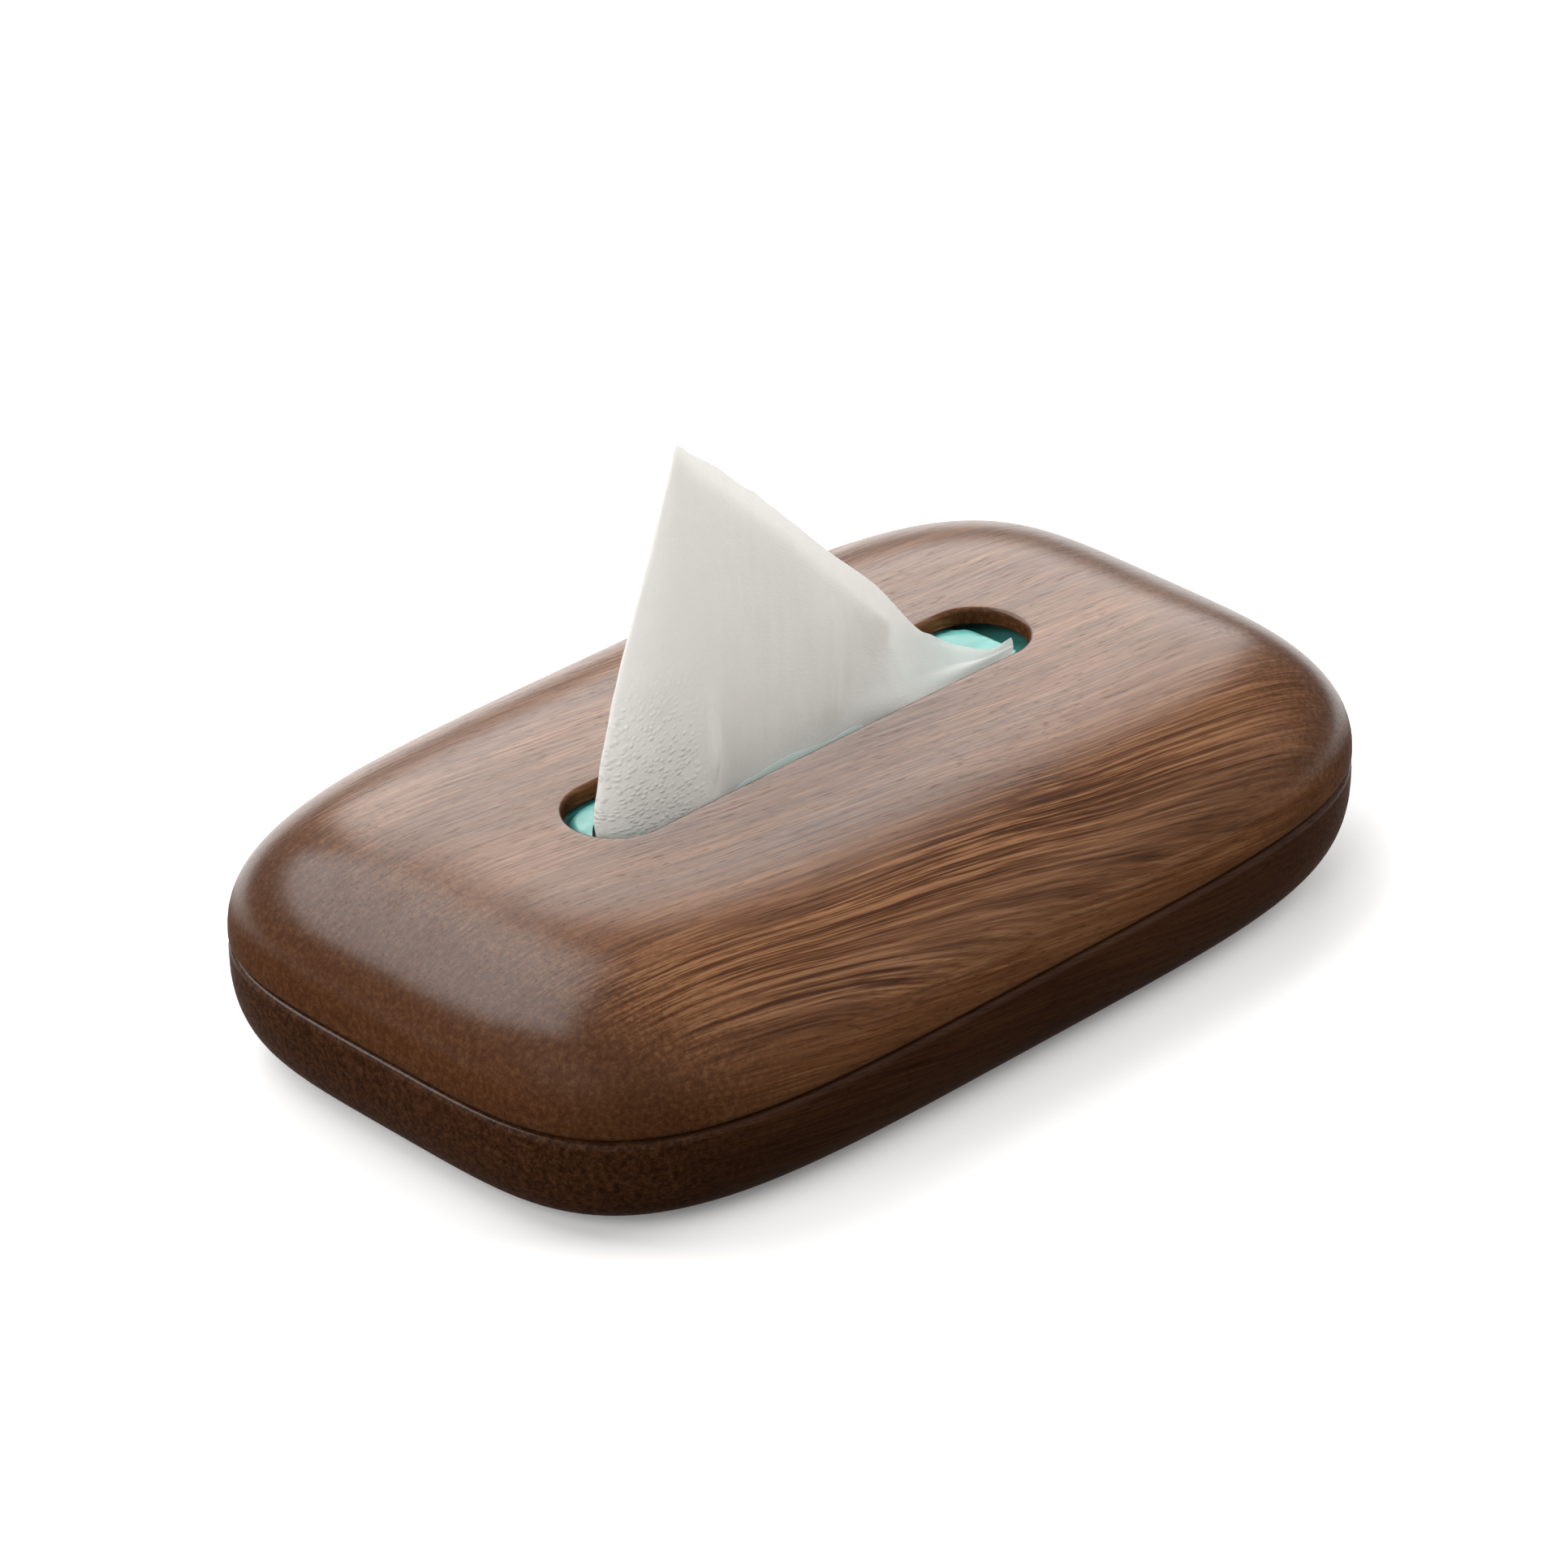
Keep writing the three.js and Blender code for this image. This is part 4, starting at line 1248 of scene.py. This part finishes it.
class TISSUE_CASE_OT_stage(bpy.types.Operator):
    """Sets the floor, the soft studio light and the camera"""

    bl_idname = "tissue_case.stage"
    bl_label = "Stage"

    # Each lamp's azimuth from +X and elevation in degrees, distance and size in metres, brightness,
    # tint, and whether glossy surfaces mirror it
    LAMPS = (
        ("right_window", (46.0, 30.0), 2.0, (1.5, 1.15), 3.8, (1.0, 0.985, 0.965), True),
        ("left_window", (108.0, 52.0), 2.0, (1.8, 1.8), 3.7, (1.0, 0.99, 0.98), True),
        ("right_fill", (-30.0, 34.0), 2.2, (1.8, 1.8), 3.75, (1.0, 0.985, 0.96), False),
        ("left_fill", (188.0, 30.0), 2.2, (1.6, 1.6), 5.0, (1.0, 0.99, 0.98), False),
    )
    WORLD_STRENGTH = 0.18
    # The floor's size in metres, and its greys as it is seen and as it throws light
    FLOOR_SIZE = 12.0
    SEEN_GREYS, THROWN_GREY, SEEN_GLOW = (0.86, 0.90), 0.12, 0.1
    # The camera's place and target in metres, roll in degrees, lens and sensor in millimetres
    CAMERA_AT = (-0.8323, -0.8510, 0.7170)
    CAMERA_TARGET = (-0.004296, 0.00072, 0.038627)
    CAMERA_ROLL = -0.583
    CAMERA_LENS = 154.0
    CAMERA_SENSOR = 36.0
    CAMERA_FAR = 30.0

    def execute(self, context):
        scene = context.scene
        scene.view_settings.view_transform = "Standard"
        self.add_floor()
        self.light_world(scene)
        for lamp in self.LAMPS:
            self.add_lamp(scene, *lamp)
        self.add_camera(scene)
        return {"FINISHED"}

    def add_floor(self):
        """A pale floor that the camera and reflections see white, but that throws little light."""
        floor = add_piece("pale_floor", bpy.ops.mesh.primitive_plane_add, size=self.FLOOR_SIZE)
        material, kit, shader = new_material("pale_paper_floor")
        rays = kit.put("ShaderNodeLightPath").outputs
        mottle = kit.put("ShaderNodeTexNoise", {"Vector": kit.place(), "Scale": 3.0}).outputs[0]
        white = kit.mix(mottle, *([grey] * 3 for grey in self.SEEN_GREYS))
        seen = kit.maths("ADD", rays["Is Camera Ray"], rays["Is Glossy Ray"])
        seen = kit.maths("ADD", seen, rays["Is Transmission Ray"], clamp=True)
        looks = {
            "Base Color": kit.mix(seen, [self.THROWN_GREY] * 3, white),
            "Roughness": 0.9,
            "Specular IOR Level": 0.0,
            "Emission Color": (1.0, 1.0, 1.0, 1.0),
            "Emission Strength": kit.scaled(seen, self.SEEN_GLOW),
        }
        kit.wire(shader, looks)
        floor.data.materials.append(material)

    def light_world(self, scene):
        world = bpy.data.worlds.new("pale_studio")
        scene.world = world
        world.use_nodes = True
        background = next(n for n in world.node_tree.nodes if n.bl_idname == "ShaderNodeBackground")
        background.inputs["Color"].default_value = (1.0, 1.0, 1.0, 1.0)
        background.inputs["Strength"].default_value = self.WORLD_STRENGTH

    def stand(self, scene, name, data, place, turn):
        holder = bpy.data.objects.new(name, data)
        scene.collection.objects.link(holder)
        holder.location = place
        holder.rotation_euler = turn.to_euler()
        return holder

    def add_lamp(self, scene, name, angles, distance, size, brightness, tint, mirrored):
        lamp = bpy.data.lights.new(name, "AREA")
        lamp.shape = "RECTANGLE"
        lamp.size, lamp.size_y = size
        lamp.energy = brightness * math.pi * size[0] * size[1]
        lamp.color = tint
        turn, rise = (math.radians(angle) for angle in angles)
        level = math.cos(rise)
        out = Vector((math.cos(turn) * level, math.sin(turn) * level, math.sin(rise)))
        holder = self.stand(scene, name, lamp, out * distance, out.to_track_quat("Z", "Y"))
        holder.visible_glossy = mirrored

    def add_camera(self, scene):
        lens = bpy.data.cameras.new("photo_camera")
        lens.lens = self.CAMERA_LENS
        lens.sensor_width = self.CAMERA_SENSOR
        lens.clip_end = self.CAMERA_FAR
        place = Vector(self.CAMERA_AT)
        back = (place - Vector(self.CAMERA_TARGET)).normalized()
        roll = Quaternion(back, math.radians(self.CAMERA_ROLL))
        turn = roll @ back.to_track_quat("Z", "Y")
        scene.camera = self.stand(scene, "photo_camera", lens, place, turn)


class VIEW3D_PT_tissue_case(bpy.types.Panel):
    """Sizes, finishes and steps of the tissue case"""

    bl_label = "Tissue Case"
    bl_idname = "VIEW3D_PT_tissue_case"
    bl_space_type = "VIEW_3D"
    bl_region_type = "UI"
    bl_category = "Tissue Case"

    def draw(self, context):
        for operator in OPERATORS:
            self.layout.operator(operator.bl_idname)
        for settings, cls in SETTINGS.items():
            box = self.layout.box()
            for name in cls.__annotations__:
                box.prop(getattr(context.scene, settings), name)


OPERATORS = (
    TISSUE_CASE_OT_cover,
    TISSUE_CASE_OT_tray,
    TISSUE_CASE_OT_magnets,
    TISSUE_CASE_OT_feet,
    TISSUE_CASE_OT_wrapper,
    TISSUE_CASE_OT_folded_tissues,
    TISSUE_CASE_OT_pulled_tissue,
    TISSUE_CASE_OT_stage,
)
SETTINGS = {
    "tissue_case_form": TissueCaseForm,
    "tissue_refill_form": TissueRefillForm,
    "tissue_case_finish": TissueCaseFinish,
}


def register():
    for cls in (*SETTINGS.values(), *OPERATORS, VIEW3D_PT_tissue_case):
        bpy.utils.register_class(cls)
    for name, cls in SETTINGS.items():
        setattr(bpy.types.Scene, name, bpy.props.PointerProperty(type=cls))


def unregister():
    for name in SETTINGS:
        delattr(bpy.types.Scene, name)
    for cls in (VIEW3D_PT_tissue_case, *reversed(OPERATORS), *reversed(SETTINGS.values())):
        bpy.utils.unregister_class(cls)


def main():
    register()
    bpy.ops.tissue_case.stage()
    bpy.ops.tissue_case.tray()
    bpy.ops.tissue_case.cover()
    bpy.ops.tissue_case.magnets()
    bpy.ops.tissue_case.feet()
    bpy.ops.tissue_case.wrapper()
    bpy.ops.tissue_case.folded_tissues()
    bpy.ops.tissue_case.pulled_tissue()


if __name__ == "__main__":
    main()
